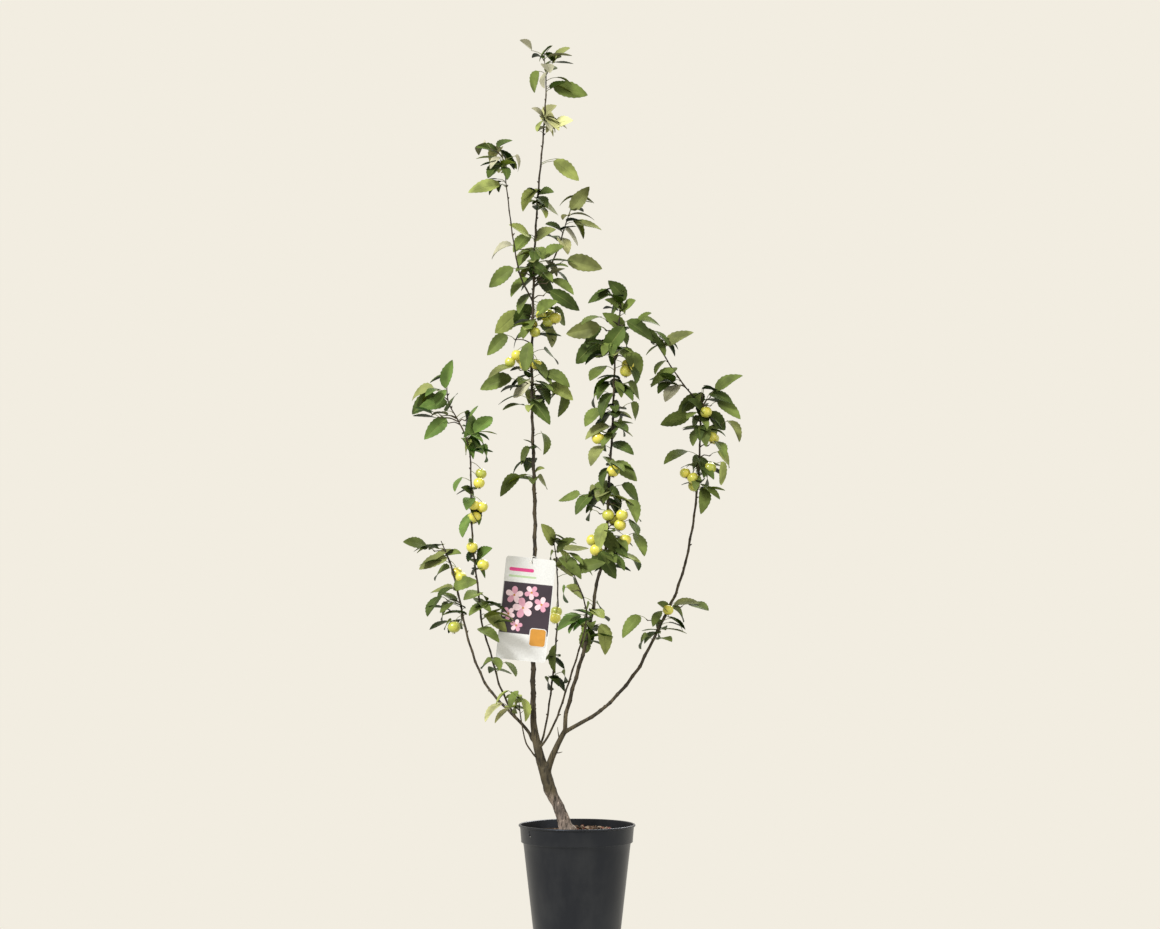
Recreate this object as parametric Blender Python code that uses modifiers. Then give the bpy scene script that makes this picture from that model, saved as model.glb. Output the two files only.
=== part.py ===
# Potted golden hornet crabapple: a young shrub of thin stems that fork low on a
# leaning trunk, each stem with its own masses of leaves, in a deep nursery pot.
# Metres, +Z up. The origin is the centre of the pot's flat underside, and +Y
# points away from the front of the plant.

import math

import bpy
import bmesh
from mathutils import Vector, noise

GAP = 0.0003
MERGE = 0.00001

# Pot: a deep seven litre container with a rolled lip over a plain band
POT_HEIGHT = 0.250
LIP_RADIUS = 0.117
LIP_DEPTH = 0.0045
LIP_OVERHANG = 0.0025
BAND_DEPTH = 0.036
BAND_STEP = 0.0042
FOOT_RADIUS = 0.0835
FOOT_CHAMFER = 0.003
WALL = 0.0018
FLOOR = 0.003
WALL_SLOPE = 0.1125
POT_STEPS = 32
DRAIN_COUNT = 8
DRAIN_DIAMETER = 0.010
DRAIN_CIRCLE = 0.066

# Compost: its surface lies below the rim, level where the trunk stands
GROUND = 0.235
COMPOST_DIP = 0.005
COMPOST_LEVEL_RADIUS = 0.030
COMPOST_STEPS = 16
COMPOST_RINGS = 4
COMPOST_LUMP_SCALE = 40.0

# Limbs: rows of x, y, z and diameter along each one, from its foot to its tip.
# Each foot starts inside the limb that carries it and is cut back to its bark.
LIMB_RESOLUTION = 2
LIMBS = {
    "trunk": (0.014, (
        (-0.016, 0.000, 0.222, 0.046),
        (-0.024, 0.000, 0.246, 0.029),
        (-0.033, 0.000, 0.278, 0.0215),
        (-0.054, 0.002, 0.318, 0.0225),
        (-0.0655, 0.004, 0.366, 0.0225),
    )),
    "leader": (0.060, (
        (-0.065, 0.004, 0.348, 0.017),
        (-0.079, 0.002, 0.402, 0.0165),
        (-0.087, 0.000, 0.448, 0.0125),
        (-0.088, 0.000, 0.520, 0.0100),
        (-0.086, -0.001, 0.740, 0.0082),
        (-0.084, -0.002, 0.858, 0.0075),
        (-0.090, 0.004, 1.098, 0.0058),
        (-0.088, 0.012, 1.299, 0.0050),
        (-0.080, 0.018, 1.489, 0.0040),
        (-0.069, 0.020, 1.610, 0.0034),
        (-0.062, 0.020, 1.716, 0.0028),
    )),
    "right_arm": (0.020, (
        (-0.062, 0.004, 0.350, 0.0125),
        (-0.052, -0.002, 0.378, 0.0120),
        (-0.038, -0.008, 0.411, 0.0105),
        (-0.022, -0.010, 0.441, 0.0095),
    )),
    "second_leader": (0.055, (
        (-0.024, -0.010, 0.436, 0.0085),
        (-0.023, -0.014, 0.467, 0.0080),
        (-0.006, -0.022, 0.531, 0.0075),
        (0.018, -0.035, 0.614, 0.0072),
        (0.034, -0.045, 0.692, 0.0068),
        (0.038, -0.050, 0.732, 0.0066),
        (0.057, -0.055, 0.787, 0.0060),
        (0.062, -0.058, 0.899, 0.0052),
        (0.071, -0.060, 1.057, 0.0045),
        (0.075, -0.058, 1.172, 0.0038),
        (0.086, -0.050, 1.276, 0.0030),
    )),
    "right_stem": (0.030, (
        (-0.025, -0.010, 0.436, 0.0080),
        (0.002, 0.000, 0.449, 0.0074),
        (0.046, 0.015, 0.474, 0.0068),
        (0.090, 0.030, 0.516, 0.0066),
        (0.127, 0.042, 0.564, 0.0064),
        (0.145, 0.050, 0.600, 0.0062),
    )),
    "right_stem_top": (0.060, (
        (0.144, 0.050, 0.597, 0.0060),
        (0.173, 0.060, 0.656, 0.0058),
        (0.200, 0.068, 0.710, 0.0054),
        (0.220, 0.075, 0.772, 0.0050),
        (0.236, 0.080, 0.857, 0.0046),
        (0.245, 0.082, 0.938, 0.0042),
        (0.249, 0.082, 1.019, 0.0038),
        (0.251, 0.080, 1.093, 0.0034),
    )),
    "right_tip": (0.030, (
        (0.251, 0.080, 1.089, 0.0032),
        (0.240, 0.076, 1.101, 0.0032),
        (0.222, 0.066, 1.121, 0.0030),
        (0.191, 0.045, 1.163, 0.0028),
        (0.162, 0.022, 1.209, 0.0024),
    )),
    "left_low_stem": (0.035, (
        (-0.086, 0.001, 0.414, 0.0062),
        (-0.098, 0.006, 0.436, 0.0060),
        (-0.118, 0.016, 0.457, 0.0058),
        (-0.155, 0.034, 0.492, 0.0054),
        (-0.179, 0.046, 0.519, 0.0052),
        (-0.204, 0.064, 0.569, 0.0050),
        (-0.225, 0.084, 0.634, 0.0046),
        (-0.239, 0.102, 0.700, 0.0044),
        (-0.256, 0.118, 0.765, 0.0040),
        (-0.264, 0.122, 0.783, 0.0036),
    )),
    "left_tall_stem": (0.055, (
        (-0.121, 0.018, 0.460, 0.0044),
        (-0.138, 0.010, 0.489, 0.0042),
        (-0.156, -0.004, 0.530, 0.0041),
        (-0.171, -0.022, 0.589, 0.0040),
        (-0.189, -0.040, 0.650, 0.0039),
        (-0.196, -0.056, 0.720, 0.0038),
        (-0.206, -0.072, 0.800, 0.0036),
        (-0.209, -0.088, 0.899, 0.0034),
        (-0.211, -0.100, 0.994, 0.0031),
        (-0.223, -0.106, 1.035, 0.0028),
        (-0.250, -0.112, 1.084, 0.0024),
    )),
    "inner_back_stem": (0.050, (
        (-0.079, 0.002, 0.398, 0.0046),
        (-0.068, 0.012, 0.421, 0.0044),
        (-0.059, 0.036, 0.464, 0.0040),
        (-0.051, 0.068, 0.524, 0.0038),
        (-0.043, 0.106, 0.603, 0.0035),
        (-0.039, 0.140, 0.683, 0.0031),
        (-0.041, 0.167, 0.757, 0.0027),
    )),
    "inner_front_stem": (0.045, (
        (-0.079, 0.001, 0.396, 0.0046),
        (-0.058, -0.014, 0.425, 0.0044),
        (-0.038, -0.038, 0.469, 0.0042),
        (-0.020, -0.066, 0.526, 0.0040),
        (-0.002, -0.092, 0.583, 0.0037),
        (0.016, -0.120, 0.645, 0.0034),
        (0.020, -0.134, 0.679, 0.0031),
        (0.012, -0.146, 0.709, 0.0028),
        (0.000, -0.154, 0.740, 0.0025),
    )),
    "base_sprout": (0.020, (
        (-0.076, 0.003, 0.376, 0.0034),
        (-0.100, -0.012, 0.409, 0.0032),
        (-0.108, -0.022, 0.440, 0.0030),
        (-0.112, -0.028, 0.464, 0.0027),
        (-0.114, -0.030, 0.481, 0.0024),
    )),
    "left_shoot": (0.035, (
        (-0.088, 0.012, 1.295, 0.0036),
        (-0.104, 0.000, 1.324, 0.0034),
        (-0.116, -0.014, 1.353, 0.0032),
        (-0.123, -0.030, 1.392, 0.0030),
        (-0.131, -0.046, 1.445, 0.0027),
        (-0.140, -0.058, 1.522, 0.0023),
    )),
    "right_shoot": (0.030, (
        (-0.086, 0.013, 1.325, 0.0036),
        (-0.064, 0.030, 1.354, 0.0034),
        (-0.046, 0.046, 1.383, 0.0031),
        (-0.034, 0.058, 1.415, 0.0028),
        (-0.025, 0.066, 1.448, 0.0024),
    )),
}

# Masses of leaves, strung on their limbs from the lowest up. Each row gives the
# height on the limb, how far the middle stands off to the side (+X) and to the
# back (+Y), and the width, depth and height of the mass.
MASSES = {
    "leader": (
        (0.976, -0.015, 0.000, 0.116, 0.080, 0.116),
        (1.122, -0.010, -0.010, 0.200, 0.150, 0.136),
        (1.257, 0.002, 0.005, 0.196, 0.140, 0.116),
        (1.374, 0.013, -0.014, 0.228, 0.140, 0.116),
        (1.499, -0.003, -0.008, 0.076, 0.060, 0.056),
        (1.560, 0.037, 0.008, 0.094, 0.046, 0.040),
        (1.663, 0.015, -0.005, 0.066, 0.056, 0.050),
        (1.763, 0.016, -0.003, 0.132, 0.090, 0.118),
    ),
    "left_shoot": (
        (1.561, -0.018, 0.000, 0.114, 0.100, 0.115),
    ),
    "right_shoot": (
        (1.481, 0.020, 0.012, 0.113, 0.090, 0.105),
    ),
    "second_leader": (
        (0.656, 0.006, -0.004, 0.080, 0.070, 0.131),
        (0.807, 0.016, -0.004, 0.127, 0.100, 0.131),
        (0.908, -0.009, 0.008, 0.171, 0.100, 0.064),
        (0.962, 0.015, -0.011, 0.083, 0.060, 0.036),
        (1.049, 0.002, 0.000, 0.123, 0.090, 0.115),
        (1.129, 0.002, 0.009, 0.127, 0.090, 0.064),
        (1.216, -0.018, -0.010, 0.174, 0.140, 0.107),
        (1.298, -0.018, 0.000, 0.091, 0.070, 0.072),
    ),
    "right_stem_top": (
        (0.656, 0.002, -0.005, 0.177, 0.100, 0.093),
        (0.952, 0.007, 0.003, 0.146, 0.100, 0.101),
        (1.079, 0.003, -0.005, 0.162, 0.120, 0.141),
    ),
    "right_tip": (
        (1.147, -0.024, -0.018, 0.064, 0.060, 0.064),
        (1.227, 0.014, 0.000, 0.100, 0.070, 0.052),
    ),
    "left_tall_stem": (
        (0.567, 0.005, -0.005, 0.072, 0.050, 0.032),
        (0.678, 0.025, -0.009, 0.111, 0.070, 0.083),
        (0.786, 0.004, -0.001, 0.052, 0.050, 0.071),
        (0.887, -0.002, -0.004, 0.059, 0.060, 0.107),
        (1.029, 0.024, 0.005, 0.075, 0.070, 0.107),
        (1.094, -0.037, -0.003, 0.102, 0.090, 0.150),
    ),
    "left_low_stem": (
        (0.686, -0.026, 0.002, 0.093, 0.090, 0.122),
        (0.783, -0.029, 0.003, 0.102, 0.080, 0.073),
    ),
    "base_sprout": (
        (0.496, -0.023, 0.000, 0.100, 0.060, 0.052),
    ),
    "inner_back_stem": (
        (0.559, 0.002, 0.000, 0.053, 0.050, 0.089),
        (0.792, 0.008, 0.008, 0.074, 0.080, 0.111),
    ),
    "inner_front_stem": (
        (0.671, -0.024, 0.001, 0.072, 0.050, 0.055),
        (0.766, 0.000, -0.001, 0.078, 0.070, 0.071),
    ),
}
MASS_SEGMENTS = 9
MASS_RINGS = 6
MASS_UNEVENNESS = 0.30
MASS_LUMP_SCALE = 1.3
MASS_CLEARANCE = 0.0006

# Plant label: a plain card with a punched hole, hung on the leader by a tie
LABEL_WIDTH = 0.100
LABEL_HEIGHT = 0.206
LABEL_THICKNESS = 0.0012
LABEL_CORNER = 0.007
LABEL_CORNER_POINTS = 4
LABEL_HOLE = 0.008
LABEL_HOLE_DROP = 0.010
LABEL_HOLE_SIDES = 10
LABEL_TILT = math.radians(6.0)
LABEL_MIDDLE = (-0.102, -0.0112, 0.680)
TIE_DIAMETER = 0.0018
TIE_SLACK = 0.0006

BARK = (0.110, 0.088, 0.054)
OLD_BARK = (0.130, 0.096, 0.070)
BLACK_PLASTIC = (0.028, 0.029, 0.031)
COMPOST_BROWN = (0.060, 0.042, 0.028)
CARD_WHITE = (0.800, 0.800, 0.790)
LEAF_GREEN = (0.060, 0.100, 0.018)


def clear_scene():
    for obj in list(bpy.data.objects):
        bpy.data.objects.remove(obj, do_unlink=True)


def new_collection(name):
    collection = bpy.data.collections.new(name)
    bpy.context.scene.collection.children.link(collection)
    return collection


def finish(name, colour, roughness):
    material = bpy.data.materials.new(name)
    material.use_nodes = True
    shader = material.node_tree.nodes["Principled BSDF"]
    shader.inputs["Base Color"].default_value = (*colour, 1.0)
    shader.inputs["Roughness"].default_value = roughness
    shader.inputs["Metallic"].default_value = 0.0
    return material


def add_piece(name, mesh, collection, material=None):
    piece = bpy.data.objects.new(name, mesh)
    collection.objects.link(piece)
    if material is not None:
        mesh.materials.clear()
        mesh.materials.append(material)
        mesh.shade_smooth()
        mesh.set_sharp_from_angle(angle=math.radians(40.0))
    return piece


def add_cutter(name, mesh, cutters):
    cutter = add_piece(name, mesh, cutters)
    cutter.hide_render = True
    cutter.display_type = "WIRE"
    return cutter


def cut(piece, cutter):
    boolean = piece.modifiers.new("cut by " + cutter.name, "BOOLEAN")
    boolean.operation = "DIFFERENCE"
    boolean.solver = "EXACT"
    boolean.object = cutter


def mesh_box(mesh):
    corners = [vertex.co for vertex in mesh.vertices]
    low = Vector(min(co[axis] for co in corners) for axis in range(3))
    high = Vector(max(co[axis] for co in corners) for axis in range(3))
    return low, high


def boxes_meet(mesh, other):
    low, high = mesh_box(mesh)
    other_low, other_high = mesh_box(other)
    return all(low[axis] < other_high[axis] and other_low[axis] < high[axis] for axis in range(3))


def cut_back_to(piece, cutters):
    for cutter in cutters:
        if boxes_meet(piece.data, cutter.data):
            cut(piece, cutter)


def curve_to_mesh(curve_data):
    holder = bpy.data.objects.new(curve_data.name, curve_data)
    bpy.context.scene.collection.objects.link(holder)
    depsgraph = bpy.context.evaluated_depsgraph_get()
    mesh = bpy.data.meshes.new_from_object(holder.evaluated_get(depsgraph))
    bpy.data.objects.remove(holder, do_unlink=True)
    shape = bmesh.new()
    shape.from_mesh(mesh)
    bmesh.ops.remove_doubles(shape, verts=shape.verts, dist=MERGE)
    bmesh.ops.recalc_face_normals(shape, faces=shape.faces)
    shape.to_mesh(mesh)
    shape.free()
    return mesh


def smooth_row(rows, span, t):
    before = rows[max(span - 1, 0)]
    start = rows[span]
    end = rows[span + 1]
    after = rows[min(span + 2, len(rows) - 1)]
    return tuple(
        0.5 * (2.0 * b + (c - a) * t + (2.0 * a - 5.0 * b + 4.0 * c - d) * t ** 2
               + (3.0 * b - a - 3.0 * c + d) * t ** 3)
        for a, b, c, d in zip(before, start, end, after))


def smooth_route(rows, step):
    # A smooth curve through the rows, sampled about every step
    route = []
    for span in range(len(rows) - 1):
        length = (Vector(rows[span + 1][:3]) - Vector(rows[span][:3])).length
        count = max(1, round(length / step))
        route += [smooth_row(rows, span, k / count) for k in range(count)]
    route.append(tuple(rows[-1]))
    return route


def tube_mesh(name, route, grow=0.0):
    # A tapering tube along rows of x, y, z and diameter, with flat ends
    centres = [Vector(row[:3]) for row in route]
    if grow:
        centres[0] = centres[0] + (centres[0] - centres[1]).normalized() * grow
        centres[-1] = centres[-1] + (centres[-1] - centres[-2]).normalized() * grow
    curve = bpy.data.curves.new(name, "CURVE")
    curve.dimensions = "3D"
    curve.bevel_depth = 1.0
    curve.bevel_resolution = LIMB_RESOLUTION
    curve.use_fill_caps = True
    spline = curve.splines.new("POLY")
    spline.points.add(len(centres) - 1)
    for point, centre, row in zip(spline.points, centres, route):
        point.co = (*centre, 1.0)
        point.radius = row[3] / 2.0 + grow
    return curve_to_mesh(curve)


def level_foot(mesh, height):
    shape = bmesh.new()
    shape.from_mesh(mesh)
    geometry = shape.verts[:] + shape.edges[:] + shape.faces[:]
    sliced = bmesh.ops.bisect_plane(
        shape, geom=geometry, dist=MERGE, plane_co=(0.0, 0.0, height),
        plane_no=(0.0, 0.0, 1.0), clear_inner=True)
    rim = [item for item in sliced["geom_cut"] if isinstance(item, bmesh.types.BMEdge)]
    bmesh.ops.edgeloop_fill(shape, edges=rim)
    bmesh.ops.recalc_face_normals(shape, faces=shape.faces)
    shape.to_mesh(mesh)
    shape.free()


def outer_radius(height):
    # The pot's outside below the band
    return FOOT_RADIUS + WALL_SLOPE * height


def band_radius(height):
    # The band's outside, from its step up to the rim
    foot = POT_HEIGHT - BAND_DEPTH
    foot_radius = outer_radius(foot) + BAND_STEP
    rim_radius = LIP_RADIUS - LIP_OVERHANG
    return foot_radius + (rim_radius - foot_radius) * (height - foot) / BAND_DEPTH


def turned(name, profile, steps, collection, material):
    # A profile of (radius, height) turned about Z, its outer side top to bottom
    mesh = bpy.data.meshes.new(name)
    shape = bmesh.new()
    points = [shape.verts.new((radius, 0.0, height)) for radius, height in profile]
    for first, second in zip(points, points[1:]):
        shape.edges.new((first, second))
    shape.to_mesh(mesh)
    shape.free()
    piece = add_piece(name, mesh, collection, material)
    screw = piece.modifiers.new("turn", "SCREW")
    screw.axis = "Z"
    screw.steps = steps
    screw.render_steps = steps
    screw.use_merge_vertices = True
    screw.merge_threshold = MERGE
    screw.use_smooth_shade = True
    return piece


def make_pot(model, cutters):
    band_foot = POT_HEIGHT - BAND_DEPTH
    lip_foot = POT_HEIGHT - LIP_DEPTH
    step_radius = outer_radius(band_foot)
    inner_shoulder = band_foot + BAND_STEP
    profile = (
        (0.0, FLOOR),
        (outer_radius(FLOOR) - WALL, FLOOR),
        (step_radius - WALL, band_foot),
        (band_radius(inner_shoulder) - WALL, inner_shoulder),
        (band_radius(POT_HEIGHT) - WALL, POT_HEIGHT),
        (LIP_RADIUS - LIP_DEPTH / 4.0, POT_HEIGHT),
        (LIP_RADIUS, POT_HEIGHT - LIP_DEPTH / 3.0),
        (LIP_RADIUS, lip_foot),
        (band_radius(lip_foot), lip_foot),
        (band_radius(band_foot), band_foot),
        (step_radius, band_foot),
        (outer_radius(FOOT_CHAMFER), FOOT_CHAMFER),
        (FOOT_RADIUS - FOOT_CHAMFER, 0.0),
        (0.0, 0.0),
    )
    pot = turned("pot", profile, POT_STEPS, model, finish("black plastic", BLACK_PLASTIC, 0.45))
    for number in range(DRAIN_COUNT):
        angle = 2.0 * math.pi * (number + 0.5) / DRAIN_COUNT
        mesh = bpy.data.meshes.new("drain cutter")
        shape = bmesh.new()
        bmesh.ops.create_cone(
            shape, cap_ends=True, segments=8, radius1=DRAIN_DIAMETER / 2.0,
            radius2=DRAIN_DIAMETER / 2.0, depth=4.0 * FLOOR)
        shape.to_mesh(mesh)
        shape.free()
        drain = add_cutter("drain_%d" % (number + 1), mesh, cutters)
        drain.location = (DRAIN_CIRCLE * math.cos(angle), DRAIN_CIRCLE * math.sin(angle), FLOOR / 2.0)
        cut(pot, drain)


def make_compost(model):
    # It fits the pot's tapering inside, and its top dips unevenly away from the trunk
    inset = WALL + GAP
    shoulder = POT_HEIGHT - BAND_DEPTH
    shoulder_radius = outer_radius(shoulder) - inset
    bottom = FLOOR + GAP
    top = GROUND - GAP
    edge = band_radius(top) - inset
    ring_step = (edge - COMPOST_LEVEL_RADIUS) / (COMPOST_RINGS - 1)
    profile = [(0.0, top)]
    profile += [(COMPOST_LEVEL_RADIUS + ring_step * ring, top) for ring in range(COMPOST_RINGS)]
    profile += [
        (shoulder_radius + BAND_STEP, shoulder + BAND_STEP + GAP),
        (shoulder_radius, shoulder + GAP),
        (outer_radius(bottom) - inset, bottom),
        (0.0, bottom),
    ]
    compost = turned("compost", profile, COMPOST_STEPS, model, finish("bark compost", COMPOST_BROWN, 0.95))
    depsgraph = bpy.context.evaluated_depsgraph_get()
    mesh = bpy.data.meshes.new_from_object(compost.evaluated_get(depsgraph))
    compost.modifiers.clear()
    compost.data = mesh
    for vertex in mesh.vertices:
        spread = math.hypot(vertex.co.x, vertex.co.y)
        if vertex.co.z > top - GAP and spread > COMPOST_LEVEL_RADIUS + MERGE:
            vertex.co.z -= COMPOST_DIP * abs(noise.noise(vertex.co * COMPOST_LUMP_SCALE))


def make_limbs(model, cutters):
    # Each limb is cut back to the bark of those already made
    bark = {"trunk": finish("old bark", OLD_BARK, 0.85)}
    routes = {}
    grown = []
    for name, (step, rows) in LIMBS.items():
        route = smooth_route(rows, step)
        routes[name] = route
        mesh = tube_mesh(name, route)
        if name == "trunk":
            level_foot(mesh, GROUND)
        material = bark.get(name) or finish("bark of " + name, BARK, 0.70)
        limb = add_piece(name, mesh, model, material)
        cut_back_to(limb, grown)
        grown.append(add_cutter("clear of " + name, tube_mesh("clear of " + name, route, GAP), cutters))
    return routes, grown


def point_at_height(route, height):
    # Where a limb stands at a height, or its tip for a mass above it
    for row, following in zip(route, route[1:]):
        if row[2] <= height <= following[2]:
            part = (height - row[2]) / (following[2] - row[2])
            return Vector(row[:3]).lerp(Vector(following[:3]), part)
    return Vector((route[-1][0], route[-1][1], height))


def mass_mesh(name, middle, size, seed, grow=0.0):
    # A lumpy closed solid that fills a box of the given size
    shape = bmesh.new()
    bmesh.ops.create_uvsphere(shape, u_segments=MASS_SEGMENTS, v_segments=MASS_RINGS, radius=1.0)
    offset = Vector((seed * 3.7, seed * 1.9, seed * 5.3))
    for vertex in shape.verts:
        lump = noise.noise(vertex.co * MASS_LUMP_SCALE + offset)
        vertex.co *= 1.0 + MASS_UNEVENNESS * lump
    low = [min(vertex.co[axis] for vertex in shape.verts) for axis in range(3)]
    high = [max(vertex.co[axis] for vertex in shape.verts) for axis in range(3)]
    for vertex in shape.verts:
        for axis in range(3):
            part = (vertex.co[axis] - low[axis]) / (high[axis] - low[axis]) - 0.5
            vertex.co[axis] = middle[axis] + part * (size[axis] + 2.0 * grow)
    mesh = bpy.data.meshes.new(name)
    shape.to_mesh(mesh)
    shape.free()
    return mesh


def make_masses(model, cutters, routes, obstacles):
    # Each mass is cut round the limbs that pass it and the masses already made
    seed = 0
    for limb, rows in MASSES.items():
        for number, (height, side, back, width, depth, tall) in enumerate(rows, start=1):
            seed += 1
            name = "leaves_%s_%d" % (limb, number)
            middle = point_at_height(routes[limb], height) + Vector((side, back, 0.0))
            size = (width, depth, tall)
            mesh = mass_mesh(name, middle, size, seed)
            mass = add_piece(name, mesh, model, finish("leaves " + name, LEAF_GREEN, 0.60))
            cut_back_to(mass, obstacles)
            grown = mass_mesh("clear of " + name, middle, size, seed, MASS_CLEARANCE)
            obstacles.append(add_cutter("clear of " + name, grown, cutters))


def add_outline(curve, points):
    spline = curve.splines.new("POLY")
    spline.points.add(len(points) - 1)
    for point, (x, y) in zip(spline.points, points):
        point.co = (x, y, 0.0, 1.0)
    spline.use_cyclic_u = True


def make_label(model):
    # The card is drawn flat, then stood up facing the front and tilted on its tie
    curve = bpy.data.curves.new("label", "CURVE")
    curve.dimensions = "2D"
    curve.fill_mode = "BOTH"
    curve.extrude = LABEL_THICKNESS / 2.0
    outline = []
    for quarter in range(4):
        sign_x = 1.0 if quarter in (0, 3) else -1.0
        sign_y = 1.0 if quarter in (0, 1) else -1.0
        corner_x = sign_x * (LABEL_WIDTH / 2.0 - LABEL_CORNER)
        corner_y = sign_y * (LABEL_HEIGHT / 2.0 - LABEL_CORNER)
        for turn in range(LABEL_CORNER_POINTS):
            angle = math.pi / 2.0 * (quarter + turn / (LABEL_CORNER_POINTS - 1))
            across = LABEL_CORNER * math.cos(angle)
            along = LABEL_CORNER * math.sin(angle)
            outline.append((corner_x + across, corner_y + along))
    add_outline(curve, outline)
    hole_y = LABEL_HEIGHT / 2.0 - LABEL_HOLE_DROP
    hole = []
    for turn in range(LABEL_HOLE_SIDES):
        angle = 2.0 * math.pi * turn / LABEL_HOLE_SIDES
        hole.append((LABEL_HOLE / 2.0 * math.cos(angle), hole_y + LABEL_HOLE / 2.0 * math.sin(angle)))
    add_outline(curve, hole)
    label = add_piece("label", curve_to_mesh(curve), model, finish("white card", CARD_WHITE, 0.40))
    label.location = LABEL_MIDDLE
    label.rotation_euler = (math.pi / 2.0, LABEL_TILT, 0.0)


def make_tie(model, routes):
    # A thin loop: through the card's hole, round the back of the leader and over the card's top edge
    up = Vector((math.sin(LABEL_TILT), 0.0, math.cos(LABEL_TILT)))
    middle = Vector(LABEL_MIDDLE)
    hole = middle + up * (LABEL_HEIGHT / 2.0 - LABEL_HOLE_DROP)
    top = middle + up * (LABEL_HEIGHT / 2.0)
    stem = point_at_height(routes["leader"], hole.z + 0.004)
    girth = min(routes["leader"], key=lambda row: abs(row[2] - hole.z))[3]
    round_stem = girth / 2.0 + TIE_DIAMETER / 2.0 + TIE_SLACK
    proud = LABEL_THICKNESS / 2.0 + TIE_DIAMETER / 2.0 + TIE_SLACK
    lift = LABEL_HOLE / 2.0 - TIE_DIAMETER / 2.0 - TIE_SLACK
    route = (
        hole + Vector((0.0, 0.0, lift)),
        hole + Vector((0.0, 2.0 * proud, lift)),
        Vector((stem.x - round_stem * 0.8, stem.y + round_stem * 0.6, hole.z + 0.005)),
        Vector((stem.x, stem.y + round_stem, hole.z + 0.006)),
        Vector((stem.x + round_stem * 0.8, stem.y + round_stem * 0.6, hole.z + 0.008)),
        Vector((stem.x + round_stem, stem.y - round_stem / 2.0, hole.z + 0.010)),
        top + Vector((0.004, proud, 0.003)),
        top + Vector((0.002, 0.0, TIE_DIAMETER / 2.0 + 2.0 * TIE_SLACK)),
        top + Vector((0.001, -1.2 * proud, 0.0)),
        hole + Vector((0.0, -1.4 * proud, lift)),
    )
    curve = bpy.data.curves.new("label_tie", "CURVE")
    curve.dimensions = "3D"
    curve.bevel_depth = TIE_DIAMETER / 2.0
    curve.bevel_resolution = 1
    spline = curve.splines.new("POLY")
    spline.points.add(len(route) - 1)
    for point, centre in zip(spline.points, route):
        point.co = (*centre, 1.0)
    spline.use_cyclic_u = True
    add_piece("label_tie", curve_to_mesh(curve), model, finish("white tie", CARD_WHITE, 0.50))


def build():
    clear_scene()
    model = new_collection("potted crabapple")
    cutters = new_collection("cutters")
    make_pot(model, cutters)
    make_compost(model)
    routes, limb_cutters = make_limbs(model, cutters)
    make_masses(model, cutters, routes, limb_cutters)
    make_label(model)
    make_tie(model, routes)


build()
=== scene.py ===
import math
import random

import bmesh
import bpy
from mathutils import Matrix, Vector, noise


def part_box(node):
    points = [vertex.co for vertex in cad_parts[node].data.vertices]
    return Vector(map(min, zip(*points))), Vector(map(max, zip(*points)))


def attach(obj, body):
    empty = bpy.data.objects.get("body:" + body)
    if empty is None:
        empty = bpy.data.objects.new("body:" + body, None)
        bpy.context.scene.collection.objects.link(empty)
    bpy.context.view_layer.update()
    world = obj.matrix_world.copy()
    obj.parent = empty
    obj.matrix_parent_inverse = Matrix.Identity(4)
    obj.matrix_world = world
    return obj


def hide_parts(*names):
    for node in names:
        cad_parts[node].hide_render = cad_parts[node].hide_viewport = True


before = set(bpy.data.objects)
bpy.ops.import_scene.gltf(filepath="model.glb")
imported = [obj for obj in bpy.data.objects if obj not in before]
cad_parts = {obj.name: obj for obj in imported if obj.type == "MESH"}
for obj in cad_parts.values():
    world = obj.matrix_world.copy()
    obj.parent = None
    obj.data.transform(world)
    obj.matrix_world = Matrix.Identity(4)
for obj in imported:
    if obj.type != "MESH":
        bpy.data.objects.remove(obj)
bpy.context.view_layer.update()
dice = random.Random(41)
skyward = Vector((0.0, 0.0, 1.0))
toCamera = Vector((0.0, -1.0, 0.0))


# A socket that takes part in plain arithmetic
class Sock:
    def __init__(self, tree, link):
        self.tree = tree
        self.link = link

    def math(self, operation, first, second):
        return self.tree.node("ShaderNodeMath", {"operation": operation}, {0: first, 1: second})

    def __add__(self, other):
        return self.math("ADD", self, other)

    def __radd__(self, other):
        return self.math("ADD", other, self)

    def __sub__(self, other):
        return self.math("SUBTRACT", self, other)

    def __rsub__(self, other):
        return self.math("SUBTRACT", other, self)

    def __mul__(self, other):
        return self.math("MULTIPLY", self, other)

    def __rmul__(self, other):
        return self.math("MULTIPLY", other, self)


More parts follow.
